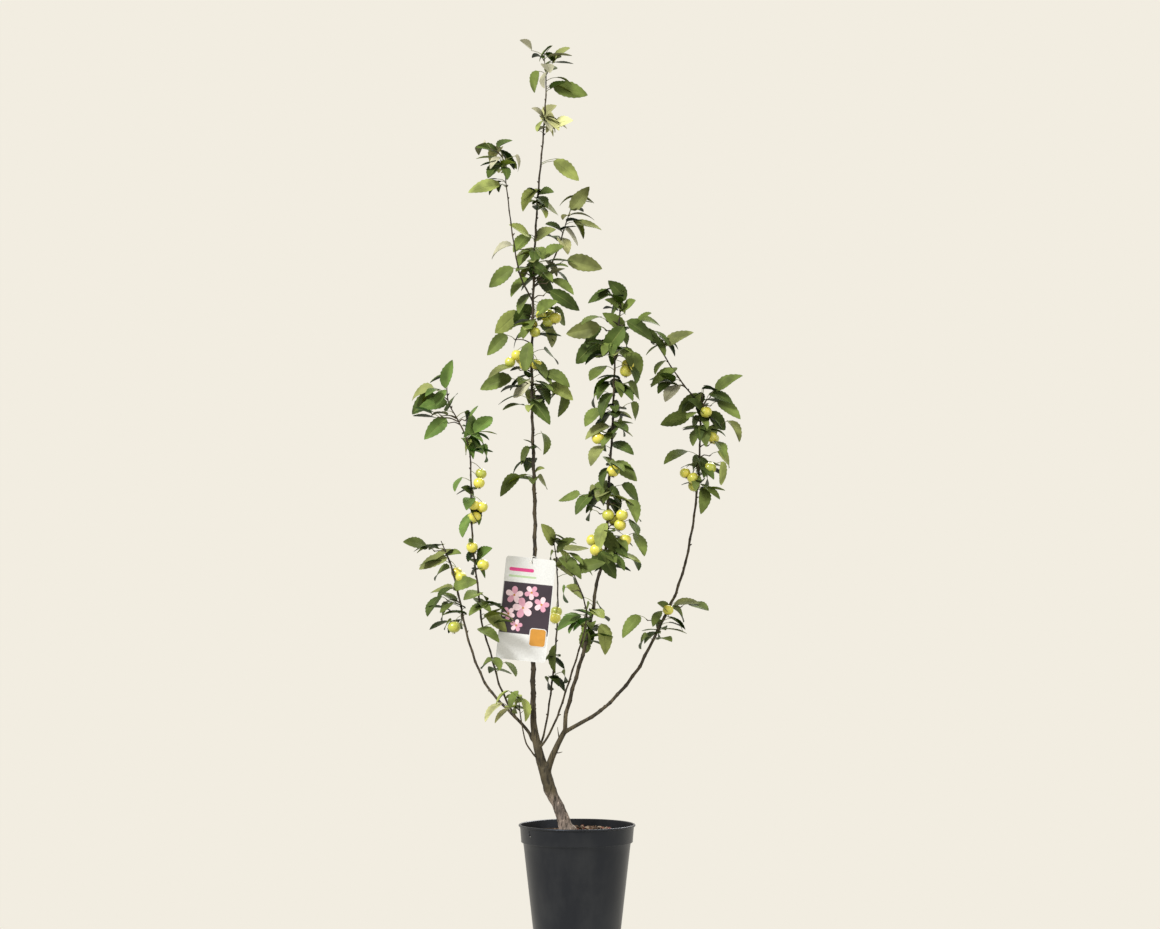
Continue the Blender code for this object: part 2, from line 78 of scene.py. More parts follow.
# One material being built: node() makes any node, put() sets the shader's sockets
class Finish:
    def __init__(self, name):
        self.material = bpy.data.materials.new(name)
        self.material.use_nodes = True
        self.nodes = self.material.node_tree.nodes
        self.links = self.material.node_tree.links
        self.shader = self.nodes["Principled BSDF"]
        self.coords = self.node("ShaderNodeTexCoord", {}, {}, "Object")

    def node(self, kind, settings, values, output=0):
        made = self.nodes.new(kind)
        for key, value in settings.items():
            if key == "stops":
                ramp = made.color_ramp
                while len(ramp.elements) < len(value):
                    ramp.elements.new(0.5)
                for element, (place, colour) in zip(ramp.elements, value):
                    element.position = place
                    element.color = (*colour, 1.0)
            else:
                setattr(made, key, value)
        for key, value in values.items():
            if isinstance(value, Sock):
                self.links.new(value.link, made.inputs[key])
            else:
                made.inputs[key].default_value = value
        return Sock(self, made.outputs[output])

    def noise(self, scale, detail=3.0, rough=0.55, vector=None):
        values = {"Vector": vector or self.coords, "Scale": scale, "Detail": detail, "Roughness": rough}
        return self.node("ShaderNodeTexNoise", {}, values, "Fac")

    def stretched(self, x, y, z):
        settings = {"operation": "MULTIPLY"}
        return self.node("ShaderNodeVectorMath", settings, {0: self.coords, 1: (x, y, z)}, "Vector")

    def ramp(self, value, stops):
        return self.node("ShaderNodeValToRGB", {"stops": stops}, {"Fac": value}, "Color")

    def mask(self, value, dark, light):
        return self.ramp(value, [(dark, (0, 0, 0)), (light, (1, 1, 1))])

    def mix(self, mask, first, second):
        values = {"Factor": mask, 6: colour4(first), 7: colour4(second)}
        return self.node("ShaderNodeMix", {"data_type": "RGBA"}, values, 2)

    def bump(self, height, strength, distance):
        values = {"Height": height, "Strength": strength, "Distance": distance}
        return self.node("ShaderNodeBump", {}, values, "Normal")

    def put(self, **sockets):
        names = {"colour": "Base Color", "rough": "Roughness", "normal": "Normal", "coat": "Coat Weight",
                 "coatRough": "Coat Roughness", "specular": "Specular IOR Level", "gleam": "Specular Tint"}
        for key, value in sockets.items():
            socket = self.shader.inputs[names[key]]
            if isinstance(value, Sock):
                self.links.new(value.link, socket)
            else:
                socket.default_value = colour4(value) if key == "colour" else value
        return self.material


def colour4(colour):
    if isinstance(colour, Sock) or len(colour) == 4:
        return colour
    return (*colour, 1.0)


def shade(colour, amount):
    return tuple(channel * amount for channel in colour)


def plainFinish(name, colour, rough, grain=400.0):
    paint = Finish(name)
    cloud = paint.noise(grain, 2.0)
    tint = paint.ramp(cloud, [(0.3, shade(colour, 0.93)), (0.7, shade(colour, 1.05))])
    return paint.put(colour=tint, rough=rough, specular=0.4)


def addObject(name, data):
    made = bpy.data.objects.new(name, data)
    bpy.context.scene.collection.objects.link(made)
    return made


# A mesh that pieces are poured into, each with its own material number
class Heap:
    def __init__(self):
        self.points = []
        self.faces = []
        self.kinds = []

    def pour(self, points, faces, kind=0):
        start = len(self.points)
        self.points += points
        self.faces += [tuple(start + index for index in face) for face in faces]
        self.kinds += kind if isinstance(kind, list) else [kind] * len(faces)

    def make(self, name, materials, sharp=60.0):
        mesh = bpy.data.meshes.new(name)
        mesh.from_pydata([tuple(point) for point in self.points], [], self.faces)
        for material in materials:
            mesh.materials.append(material)
        mesh.polygons.foreach_set("material_index", self.kinds)
        mesh.shade_smooth()
        mesh.set_sharp_from_angle(angle=math.radians(sharp))
        return addObject(name, mesh)


def evaluated(piece):
    bpy.context.view_layer.update()
    return bpy.data.meshes.new_from_object(piece.evaluated_get(bpy.context.evaluated_depsgraph_get()))


def bakeShape(piece):
    # The piece takes the mesh that its modifiers make
    mesh = evaluated(piece)
    piece.modifiers.clear()
    piece.data = mesh
    return mesh


def settle(piece, slot, *nodes):
    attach(piece, "root")
    if nodes:
        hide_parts(*nodes)
    return piece


def turned(part, parts):
    return 2.0 * math.pi * part / parts


def polar(radius, angle, height=0.0):
    return Vector((radius * math.cos(angle), radius * math.sin(angle), height))


def bandFaces(start, sides):
    # Four-sided faces between a ring of points and the next ring above it
    faces = []
    for side in range(sides):
        following = (side + 1) % sides
        faces.append((start + side, start + following, start + sides + following, start + sides + side))
    return faces


def domedFaces(rings, sides):
    # A point on top, rings of points from there down, and a point below
    last = 1 + rings * sides
    low = last - sides
    faces = [(0, 1 + side, 1 + (side + 1) % sides) for side in range(sides)]
    for ring in range(rings - 1):
        faces += [(a, d, c, b) for a, b, c, d in bandFaces(1 + ring * sides, sides)]
    return faces + [(last, low + (side + 1) % sides, low + side) for side in range(sides)]


def across(direction):
    # Two unit vectors square to a direction
    side = direction.cross(skyward)
    if side.length < 0.05:
        side = direction.cross(Vector((1.0, 0.0, 0.0)))
    side.normalize()
    return side, direction.cross(side).normalized()


def tube(heap, centres, radii, sides, kind=0, relief=None):
    # A closed tube; relief(point) gives how far its skin stands off the radius
    points = []
    side = None
    for number, centre in enumerate(centres):
        before = centres[max(number - 1, 0)]
        after = centres[min(number + 1, len(centres) - 1)]
        along = (after - before).normalized()
        if side is None:
            side = across(along)[0]
        side = (side - along * side.dot(along)).normalized()
        other = along.cross(side)
        for turn in range(sides):
            angle = turned(turn, sides)
            spoke = side * math.cos(angle) + other * math.sin(angle)
            reach = radii[number]
            if relief:
                reach += relief(centre + spoke * reach)
            points.append(centre + spoke * reach)
    faces = []
    for ring in range(len(centres) - 1):
        faces += bandFaces(ring * sides, sides)
    faces.append(tuple(reversed(range(sides))))
    last = (len(centres) - 1) * sides
    faces.append(tuple(range(last, last + sides)))
    heap.pour(points, faces, kind)


def curveThrough(rows, step):
    # Catmull-Rom through rows of any width, whose first three numbers are a place
    path = []
    for span in range(len(rows) - 1):
        four = [rows[max(span - 1, 0)], rows[span], rows[span + 1], rows[min(span + 2, len(rows) - 1)]]
        length = (Vector(four[2][:3]) - Vector(four[1][:3])).length
        count = max(1, round(length / step))
        for part in range(count):
            t = part / count
            path.append([0.5 * (2 * b + (c - a) * t + (2 * a - 5 * b + 4 * c - d) * t * t
                                + (3 * b - a - 3 * c + d) * t ** 3) for a, b, c, d in zip(*four)])
    path.append(list(rows[-1]))
    return path


# Camera, light and stage. The camera stands 7.5 m off, level, at the photo's angle.
view = {"x": 0.006, "z": 0.969, "away": 7.5, "frameWide": 2.32, "pixelsWide": 1160, "pixelsHigh": 929}
metresPerPixel = view["frameWide"] / view["pixelsWide"]
backColour = (0.888, 0.847, 0.753)


def makeStage():
    camera = addObject("camera", bpy.data.cameras.new("camera"))
    camera.data.sensor_width = 36.0
    camera.data.lens = 36.0 * view["away"] / view["frameWide"]
    camera.location = (view["x"], -view["away"], view["z"])
    camera.rotation_euler = (math.radians(90.0), 0.0, 0.0)
    bpy.context.scene.camera = camera
    world = bpy.data.worlds.new("studio")
    bpy.context.scene.world = world
    world.use_nodes = True
    world.node_tree.nodes["Background"].inputs["Color"].default_value = colour4(backColour)
    world.node_tree.nodes["Background"].inputs["Strength"].default_value = 1.0
    bpy.context.scene.view_settings.view_transform = "Standard"
    lamps = {
        "key": {"at": (-3.4, -3.6, 5.0), "size": 1.3, "power": 520.0},
        "fill": {"at": (3.6, -3.0, 2.4), "size": 2.6, "power": 60.0},
        "back": {"at": (1.5, 4.5, 4.0), "size": 2.4, "power": 160.0},
    }
    for name, lamp in lamps.items():
        light = addObject(name, bpy.data.lights.new(name, "AREA"))
        light.data.size = lamp["size"]
        light.data.energy = lamp["power"]
        light.location = lamp["at"]
        aim = Vector((0.0, 0.0, 0.9)) - light.location
        light.rotation_euler = aim.to_track_quat("-Z", "Y").to_euler()
    bpy.ops.mesh.primitive_circle_add(vertices=128, radius=0.31, fill_type="NGON")
    floor = bpy.context.object
    floor.name = "floor"
    floor.location.z = -0.0005
    paint = Finish("pale floor")
    paint.put(colour=(0.60, 0.585, 0.545), rough=0.9, specular=0.1)
    floor.data.materials.append(paint.material)


def place(px, py, depth):
    # A pixel of the photo, at a depth behind the trunk's plane, as a place in metres
    scale = metresPerPixel * (view["away"] + depth) / view["away"]
    x = view["x"] + (px - view["pixelsWide"] / 2.0) * scale
    z = view["z"] + (view["pixelsHigh"] / 2.0 - py) * scale
    return Vector((x, depth, z))


# Limbs: each one's line and girth are read off its CAD solid, then it gets nodes and bark
limbs = {
    "trunk": None, "leader": "trunk", "right_arm": "trunk", "second_leader": "right_arm",
    "right_stem": "right_arm", "right_stem_top": "right_stem", "right_tip": "right_stem_top",
    "left_low_stem": "leader", "left_tall_stem": "left_low_stem", "inner_back_stem": "leader",
    "inner_front_stem": "leader", "base_sprout": "leader", "left_shoot": "leader", "right_shoot": "leader",
}
limbShape = {"slice": 0.012, "skip": 0.006, "step": 0.0032, "nodeEvery": 0.024, "nodeSwell": 0.22,
             "barkRough": 0.00022, "zigzag": 0.0007, "tipGirth": 0.0016, "forkTop": 0.455, "voxel": 0.0011,
             "skin": 0.00035, "ridges": 0.0011, "plates": 0.0010, "oldBelow": 0.43, "oldFade": 0.10}
forkOnly = ("trunk", "right_arm")
highShoots = ("left_shoot", "right_shoot")
routes = {}


def sliceLimb(name):
    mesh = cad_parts[name].data
    corners = [vertex.co for vertex in mesh.vertices]
    edges = [(corners[edge.vertices[0]], corners[edge.vertices[1]]) for edge in mesh.edges]
    low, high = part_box(name)
    rows = []
    height = low.z + (0.001 if name == "trunk" else limbShape["skip"])
    while height < high.z - 0.002:
        hits = []
        for a, b in edges:
            if (a.z - height) * (b.z - height) < 0.0:
                hits.append(a.lerp(b, (height - a.z) / (b.z - a.z)))
        if len(hits) > 5:
            xs = [hit.x for hit in hits]
            ys = [hit.y for hit in hits]
            centre = Vector(((min(xs) + max(xs)) / 2.0, (min(ys) + max(ys)) / 2.0, height))
            rows.append((centre, hits))
        height += limbShape["slice"]
    route = []
    for number, (centre, hits) in enumerate(rows):
        before = rows[max(number - 1, 0)][0]
        after = rows[min(number + 1, len(rows) - 1)][0]
        flat = (after - before).cross(skyward)
        if flat.length < 0.0001:
            flat = Vector((1.0, 0.0, 0.0))
        flat.normalize()
        spread = [(hit - centre).dot(flat) for hit in hits]
        route.append((*centre, (max(spread) - min(spread)) / 2.0))
    return route


# The fork is drawn from listed points, as its solids meet there: place and half girth, in metres
forkLines = {
    "trunk": (
        (-0.018, 0.0, 0.236, 0.0172), (-0.0235, 0.0, 0.246, 0.0140), (-0.033, 0.0, 0.276, 0.0112),
        (-0.047, 0.001, 0.303, 0.0106), (-0.055, 0.002, 0.322, 0.0122), (-0.0635, 0.003, 0.352, 0.0112),
        (-0.066, 0.003, 0.362, 0.0100)),
    "leader": (
        (-0.060, 0.003, 0.336, 0.0090), (-0.0690, 0.004, 0.366, 0.0096), (-0.0765, 0.003, 0.394, 0.0086),
        (-0.083, 0.001, 0.424, 0.0076), (-0.0870, 0.0, 0.452, 0.0062)),
    "right_arm": (
        (-0.0600, 0.003, 0.338, 0.0080), (-0.0585, 0.002, 0.358, 0.0076), (-0.0520, -0.002, 0.378, 0.0064),
        (-0.038, -0.008, 0.411, 0.0054), (-0.022, -0.010, 0.441, 0.0049)),
}


def readLimbs():
    for name, parent in limbs.items():
        route = sliceLimb(name)
        if name in forkLines:
            drawn = list(forkLines[name])
            above = drawn[-1][2] + 0.01
            route = drawn + [row for row in route if name == "leader" and row[2] > above]
        elif parent:
            # The foot starts on the carrier's own line, a little lower down
            foot = Vector(route[0][:3])
            lower = foot.z - 0.008
            gaps = [(Vector(row[:3]) - foot).length + abs(row[2] - lower) for row in routes[parent]]
            carrier = routes[parent][gaps.index(min(gaps))]
            route = [(*carrier[:3], route[0][3])] + route
        routes[name] = curveThrough(route, limbShape["step"])


def extendInto(name, target, girth):
    # A limb that ends in its last mass grows on to a point inside it
    route = routes[name]
    tip = Vector(route[-1][:3])
    heading = (tip - Vector(route[-8][:3])).normalized()
    length = (target - tip).length
    middle = tip + heading * length * 0.5
    rows = [route[-6], route[-1], (*middle.lerp(tip.lerp(target, 0.5), 0.5), (route[-1][3] + girth) / 2.0),
            (*target, girth)]
    routes[name] = route[:-6] + curveThrough(rows, limbShape["step"])


def onLimb(name, height):
    route = routes[name]
    return Vector(min(route, key=lambda row: abs(row[2] - height))[:3])


# Where each limb ends in the photo, beyond its CAD solid (pixels and depth)
limbTips = {
    "leader": (544, 56, 0.018), "left_shoot": (503, 158, -0.064), "right_shoot": (571, 209, 0.072),
    "second_leader": (618, 286, -0.046), "right_tip": (651, 337, 0.012), "left_low_stem": (441, 541, 0.130),
    "left_tall_stem": (447, 388, -0.114), "base_sprout": (519, 703, -0.030),
    "inner_back_stem": (551, 527, 0.190), "inner_front_stem": (566, 561, -0.160),
}


def barkRelief(point):
    swell = noise.noise(point * 55.0) * 0.6 + noise.noise(point * 160.0) * 0.4
    return limbShape["barkRough"] * swell


def knobbly(name, route):
    # Swollen nodes and a slight zigzag, which fade to nothing at the foot
    seed = sum(ord(letter) for letter in name) * 0.37
    centres = []
    radii = []
    travelled = 0.0
    for number, row in enumerate(route):
        centre = Vector(row[:3])
        if number:
            travelled += (centre - Vector(route[number - 1][:3])).length
        phase = travelled / limbShape["nodeEvery"] + seed
        fade = min(1.0, travelled / 0.05)
        sway = math.sin(math.pi * phase) * limbShape["zigzag"] * fade * min(1.0, row[3] / 0.003)
        centre += Vector((sway, sway * math.cos(seed), 0.0))
        node = math.exp(-((phase % 1.0) - 0.5) ** 2 / 0.012)
        girth = row[3] * (1.0 + limbShape["nodeSwell"] * node * fade)
        centres.append(centre)
        radii.append(girth)
    return centres, radii


barks = {
    "young bark": {"upper": (0.052, 0.040, 0.022), "lower": (0.110, 0.092, 0.058), "flaky": 0.2},
    "old bark": {"upper": (0.066, 0.053, 0.029), "lower": (0.170, 0.135, 0.112), "flaky": 0.9},
    "twig bark": {"upper": (0.070, 0.052, 0.028), "lower": (0.120, 0.095, 0.055), "flaky": 0.2},
}


def barkFinish(name):
    # The bark is pale and flaky near the ground; upright dark streaks run through all of it
    young, old, flaky = barks[name]["upper"], barks[name]["lower"], barks[name]["flaky"]
    paint = Finish(name)
    patches = paint.noise(38.0, 5.0, 0.62, paint.stretched(1.0, 1.0, 0.45))
    streaks = paint.noise(190.0, 4.0, 0.65, paint.stretched(1.0, 1.0, 0.16))
    grain = paint.noise(260.0, 3.0, 0.6, paint.stretched(1.0, 1.0, 0.35))
    height = paint.node("ShaderNodeSeparateXYZ", {}, {"Vector": paint.coords}, "Z") + 0.05 * patches
    low = 1.0 - paint.mask(height, 0.318, 0.345)
    upper = paint.ramp(patches, [(0.36, shade(young, 0.5)), (0.52, young), (0.68, shade(young, 1.6))])
    lower = paint.ramp(patches, [(0.38, shade(old, 0.4)), (0.5, old), (0.64, shade(old, 1.7))])
    flakes = paint.noise(135.0, 3.0, 0.6, paint.stretched(1.0, 1.0, 0.55))
    lower = paint.mix(paint.mask(flakes, 0.56, 0.63), lower, shade(old, 2.6))
    skin = paint.mix(low, upper, lower)
    tone = paint.mix(1.0 - paint.mask(streaks, 0.40, 0.50), skin, shade(young, 0.25))
    relief = grain * (0.6 + flaky) + patches * flaky + streaks * (0.4 + flaky)
    return paint.put(colour=tone, rough=0.62 + 0.2 * grain, specular=0.3,
                     normal=paint.bump(relief, 0.6, 0.0009))


def makeWood():
    young = barkFinish("young bark")
    old = barkFinish("old bark")
    for name, (px, py, depth) in limbTips.items():
        extendInto(name, place(px, py, depth), limbShape["tipGirth"] / 2.0)
    # The fork: trunk, arms and the feet of the stems, melted together and smoothed
    fork = Heap()
    for name, route in routes.items():
        low = [row for row in route if row[2] < limbShape["forkTop"] + 0.02]
        if name in highShoots or len(low) < 3:
            continue
        if name == "trunk":
            low = [[*low[0][:2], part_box("trunk")[0].z, low[0][3]]] + low
        tube(fork, [Vector(row[:3]) for row in low], [row[3] for row in low], 20)
    lump = fork.make("fork_wood", [old])
    remesh = lump.modifiers.new("melt", "REMESH")
    remesh.mode = "VOXEL"
    remesh.voxel_size = limbShape["voxel"]
    soften = lump.modifiers.new("soften", "SMOOTH")
    soften.factor = 0.6
    soften.iterations = 7
    mesh = bakeShape(lump)
    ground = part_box("trunk")[0].z
    normals = [vertex.normal.copy() for vertex in mesh.vertices]
    for vertex, normal in zip(mesh.vertices, normals):
        age = max(0.15, min(1.0, (limbShape["oldBelow"] - vertex.co.z) / limbShape["oldFade"]))
        stretched = Vector((vertex.co.x, vertex.co.y, vertex.co.z * 0.35))
        ridge = noise.noise(stretched * 150.0) * 0.9 + abs(noise.noise(stretched * 320.0)) * 0.5
        plate = noise.noise(vertex.co * 75.0)
        rough = limbShape["ridges"] * ridge + limbShape["plates"] * plate
        vertex.co += normal * (limbShape["skin"] + age * rough)
        vertex.co.z = max(vertex.co.z, ground)
    mesh.shade_smooth()
    settle(lump, "old_bark", *forkOnly)
    # The stems above it
    stems = Heap()
    for name, route in routes.items():
        if name in forkOnly:
            continue
        upper = [row for row in route if name in highShoots or row[2] > limbShape["forkTop"] - 0.01]
        centres, radii = knobbly(name, upper)
        tube(stems, centres, radii, 14, 0, barkRelief)
    growBuds(stems)
    nodes = [name for name in limbs if name not in forkOnly]
    settle(stems.make("stem_wood", [young]), "bark", *nodes)


bareTwigs = ((0.392, (0.017, -0.004, 0.001)), (0.418, (-0.004, -0.003, 0.026)))  # Heights and reaches
budShape = {"every": 8, "missing": 0.35, "lowest": 0.46, "shortest": 0.003, "longest": 0.006}


def growBuds(heap):
    # Two bare side twigs on the right arm, then small pointed buds at the nodes of every stem
    for height, reach in bareTwigs:
        foot = onLimb("right_arm", height)
        middle = foot + Vector(reach) * 0.55
        tip = foot + Vector(reach) + Vector((0.0, 0.0, 0.0015))
        tube(heap, [foot, middle, tip], [0.0015, 0.0011, 0.0005], 8)
    for name, route in routes.items():
        if name in forkOnly:
            continue
        for number in range(14, len(route) - 4, budShape["every"]):
            if dice.random() < budShape["missing"] or route[number][2] < budShape["lowest"]:
                continue
            centre = Vector(route[number][:3])
            along = (Vector(route[number + 1][:3]) - centre).normalized()
            side, other = across(along)
            angle = dice.uniform(0.0, 2.0 * math.pi)
            out = side * math.cos(angle) + other * math.sin(angle)
            length = dice.uniform(budShape["shortest"], budShape["longest"])
            start = centre + out * route[number][3] * 0.6
            heading = (out * 0.7 + along * 0.7).normalized()
            tube(heap, [start, start + heading * length * 0.6, start + heading * length],
                 [0.0015, 0.0013, 0.0003], 6)


# Leaves: each row is the left, right, top and bottom of a leaf that shows, in photo pixels, and its
# tone; a leaf hangs outward unless its tone ends in ^, which lets it rise
# Deep and light tones are partly the leaf's own green, partly painted shade and painted sunlight on that
# leaf
leafSpots = {
    "leader_8": (
        (523, 532, 39, 50, "grey^"), (534, 543, 50, 60, "deep^"), (547, 558, 50, 67, "mid^"),
        (552, 565, 46, 62, "olive^"), (524, 540, 71, 94, "mid"), (538, 547, 70, 84, "grey"),
        (553, 588, 82, 99, "mid")),
    "leader_7": (
        (535, 544, 107, 119, "grey^"), (543, 556, 106, 126, "yellow"), (550, 568, 115, 127, "yellow^"),
        (540, 553, 104, 118, "yellow^"), (548, 560, 120, 130, "grey"), (535, 543, 119, 130, "light")),
    "leader_6": ((552, 582, 160, 180, "light"),),
    "leader_5": (
        (518, 537, 188, 203, "light"), (527, 537, 186, 192, "deep^"), (538, 550, 186, 193, "deep^"),
        (540, 564, 201, 212, "olive"), (538, 549, 204, 214, "light")),
    "left_shoot_1": (
        (484, 498, 141, 153, "deep^"), (473, 486, 143, 150, "grey"), (498, 512, 137, 149, "deep^"),
        (486, 502, 161, 176, "deep"), (515, 525, 156, 170, "grey"), (504, 509, 160, 173, "yellow"),
        (468, 500, 180, 193, "light"), (496, 502, 184, 188, "deep")),
    "right_shoot_1": (
        (570, 590, 186, 211, "olive^"), (571, 583, 204, 211, "deep^"), (574, 602, 219, 228, "olive"),
        (547, 563, 222, 232, "deep^"), (544, 558, 229, 242, "deep^"), (558, 573, 236, 247, "yellow"),
        (565, 583, 230, 242, "grey")),
    "leader_4": (
        (511, 530, 223, 236, "light^"), (512, 530, 233, 250, "mid"), (516, 532, 246, 262, "mid"),
        (484, 512, 243, 252, "grey"), (567, 603, 255, 273, "olive"), (485, 515, 267, 286, "mid"),
        (528, 552, 261, 277, "deep"), (508, 530, 277, 291, "mid"), (535, 558, 277, 293, "deep"),
        (552, 575, 278, 293, "mid"), (540, 560, 243, 258, "mid^"), (533, 548, 225, 240, "olive^")),
    "leader_3": (
        (548, 583, 290, 309, "deep"), (515, 530, 292, 308, "mid"), (510, 532, 303, 330, "deep"),
        (491, 520, 310, 336, "light"), (485, 508, 334, 352, "mid"), (553, 568, 308, 325, "mid"),
        (540, 567, 322, 336, "deep"), (536, 552, 298, 314, "mid^"), (520, 534, 318, 336, "mid"),
        (545, 565, 330, 348, "olive")),
    "leader_2": (
        (520, 533, 342, 372, "mid"), (488, 512, 364, 371, "olive"), (477, 512, 374, 390, "mid"),
        (508, 533, 381, 396, "grey"), (543, 564, 349, 361, "deep"), (545, 570, 369, 380, "mid"),
        (548, 573, 381, 393, "light"), (551, 560, 385, 405, "mid"), (560, 570, 390, 420, "mid"),
        (531, 551, 399, 422, "deep"), (534, 549, 358, 374, "mid"), (536, 552, 383, 400, "deep")),
    "leader_1": (
        (541, 552, 432, 448, "mid"), (516, 531, 447, 465, "mid"), (495, 521, 475, 490, "mid"),
        (537, 551, 476, 489, "olive"), (535, 541, 466, 473, "light^")),
    "second_leader_8": (
        (609, 627, 280, 300, "deep^"), (585, 611, 291, 303, "deep"), (622, 634, 299, 310, "mid^"),
        (598, 620, 305, 320, "deep"), (612, 626, 296, 314, "mid^")),
    "second_leader_7": (
        (582, 600, 314, 323, "mid"), (564, 600, 321, 339, "olive"), (584, 600, 325, 342, "deep"),
        (568, 602, 340, 362, "deep"), (600, 625, 325, 358, "deep"), (625, 658, 320, 340, "deep"),
        (605, 625, 312, 330, "mid^"), (618, 640, 334, 352, "deep"), (590, 612, 340, 360, "mid"),
        (636, 650, 312, 324, "mid^"), (622, 636, 346, 362, "mid")),
    "right_tip_2": (
        (640, 665, 328, 343, "deep"), (663, 691, 328, 345, "olive^"), (640, 663, 315, 324, "mid^"),
        (650, 668, 336, 350, "mid")),
    "right_tip_1": (
        (652, 665, 360, 369, "mid"), (648, 675, 368, 384, "mid"), (657, 675, 377, 385, "deep"),
        (661, 680, 384, 395, "grey")),
    "second_leader_6": (
        (587, 606, 365, 376, "mid"), (631, 648, 351, 379, "mid"), (628, 640, 363, 381, "deep"),
        (594, 612, 383, 393, "deep"), (582, 601, 390, 402, "mid"), (616, 635, 386, 397, "deep"),
        (627, 648, 382, 399, "mid")),
    "second_leader_5": (
        (596, 612, 392, 413, "deep"), (582, 602, 407, 421, "mid"), (612, 632, 402, 417, "deep"),
        (630, 646, 402, 422, "mid"), (585, 609, 423, 433, "olive"), (606, 618, 424, 436, "deep"),
        (617, 631, 420, 436, "mid"), (598, 609, 438, 450, "mid"), (585, 604, 445, 456, "olive"),
        (612, 633, 440, 450, "deep")),
    "second_leader_4": (
        (613, 639, 461, 479, "mid"), (597, 609, 467, 480, "deep"), (604, 620, 456, 470, "mid")),
    "second_leader_3": (
        (592, 606, 480, 493, "mid"), (581, 596, 487, 497, "olive"), (557, 580, 491, 503, "mid"),
        (571, 593, 494, 506, "deep"), (591, 608, 490, 507, "mid"), (620, 647, 484, 501, "deep"),
        (626, 643, 499, 513, "mid"), (608, 624, 488, 504, "deep")),
    "second_leader_2": (
        (592, 607, 522, 547, "light"), (600, 620, 529, 553, "mid"), (582, 593, 509, 519, "mid"),
        (629, 645, 508, 521, "mid"), (630, 640, 519, 534, "deep"), (634, 648, 532, 553, "mid"),
        (626, 647, 555, 564, "mid"), (588, 604, 548, 572, "deep"), (598, 618, 550, 580, "deep"),
        (612, 628, 538, 556, "deep")),
    "second_leader_1": (
        (573, 583, 582, 598, "light^"), (580, 590, 602, 619, "mid"), (578, 591, 630, 656, "mid"),
        (598, 613, 624, 653, "light"), (595, 611, 612, 621, "mid"), (596, 607, 602, 611, "deep"),
        (582, 593, 616, 633, "mid")),
    "right_stem_top_3": (
        (714, 739, 372, 390, "mid^"), (710, 732, 390, 401, "deep"), (676, 701, 393, 415, "mid"),
        (659, 690, 412, 427, "mid"), (682, 701, 417, 431, "deep"), (687, 701, 428, 437, "mid"),
        (717, 742, 400, 417, "mid"), (728, 743, 420, 435, "olive"), (706, 731, 412, 430, "deep"),
        (708, 726, 426, 445, "mid"), (715, 729, 441, 451, "mid"), (690, 706, 398, 414, "deep^"),
        (697, 712, 402, 420, "deep")),
    "right_stem_top_2": (
        (663, 687, 449, 456, "mid"), (716, 740, 451, 467, "light"), (686, 700, 455, 475, "deep"),
        (697, 710, 455, 472, "deep"), (718, 728, 462, 486, "light"), (704, 717, 473, 486, "mid"),
        (700, 712, 487, 509, "mid"), (690, 704, 463, 480, "mid")),
    "right_stem_top_1": (
        (620, 641, 615, 633, "mid"), (633, 649, 635, 646, "mid"), (648, 663, 619, 641, "deep"),
        (659, 671, 601, 613, "mid^"), (675, 696, 596, 606, "olive^"), (671, 691, 607, 618, "mid"),
        (689, 708, 602, 609, "mid")),
    "left_tall_stem_6": (
        (442, 453, 360, 388, "fresh^"), (404, 434, 385, 396, "olive"), (405, 437, 393, 415, "deep"),
        (419, 447, 398, 411, "fresh"), (445, 455, 389, 411, "fresh^"), (424, 447, 417, 440, "fresh")),
    "left_tall_stem_5": (
        (470, 477, 404, 416, "fresh^"), (463, 471, 412, 430, "deep"), (469, 477, 414, 434, "fresh"),
        (474, 493, 413, 434, "fresh^"), (460, 473, 441, 453, "light"), (468, 486, 437, 453, "fresh"),
        (480, 497, 446, 461, "fresh")),
    "left_tall_stem_4": (
        (452, 461, 477, 488, "fresh"), (458, 471, 512, 534, "fresh"), (463, 474, 486, 497, "deep^")),
    "left_tall_stem_3": (
        (463, 474, 540, 556, "fresh"), (476, 490, 546, 560, "fresh^"), (467, 478, 560, 575, "deep")),
    "left_tall_stem_2": (
        (464, 481, 591, 598, "mid"), (481, 490, 594, 599, "olive"), (468, 488, 602, 614, "mid"),
        (484, 512, 613, 632, "light"), (478, 500, 627, 634, "mid")),
    "left_tall_stem_1": (
        (479, 492, 660, 668, "mid"), (506, 518, 662, 673, "mid")),
    "left_low_stem_2": (
        (407, 428, 536, 548, "mid^"), (418, 447, 555, 566, "olive"), (426, 450, 565, 575, "mid"),
        (444, 458, 548, 556, "mid^")),
    "left_low_stem_1": (
        (452, 470, 574, 589, "mid^"), (429, 453, 586, 594, "olive"), (424, 440, 596, 610, "deep"),
        (434, 450, 602, 622, "mid"), (455, 465, 614, 629, "mid"), (440, 452, 620, 627, "mid")),
    "base_sprout_1": (
        (482, 502, 703, 714, "yellow"), (507, 520, 700, 713, "light"), (513, 521, 688, 702, "mid^"),
        (521, 533, 698, 714, "light")),
    "inner_back_stem_2": (
        (546, 556, 524, 545, "light^"), (546, 554, 551, 559, "mid"), (553, 575, 558, 571, "olive"),
        (568, 583, 573, 581, "mid"), (556, 570, 536, 552, "mid^")),
    "inner_back_stem_1": (
        (549, 557, 645, 673, "mid"), (543, 551, 677, 692, "deep"), (561, 573, 671, 682, "mid")),
    "inner_front_stem_2": (
        (564, 589, 544, 552, "olive^"), (558, 585, 557, 573, "mid"), (578, 597, 556, 572, "mid^")),
    "inner_front_stem_1": (
        (556, 566, 586, 602, "fresh"), (558, 580, 612, 623, "fresh"), (568, 578, 621, 632, "fresh")),
}
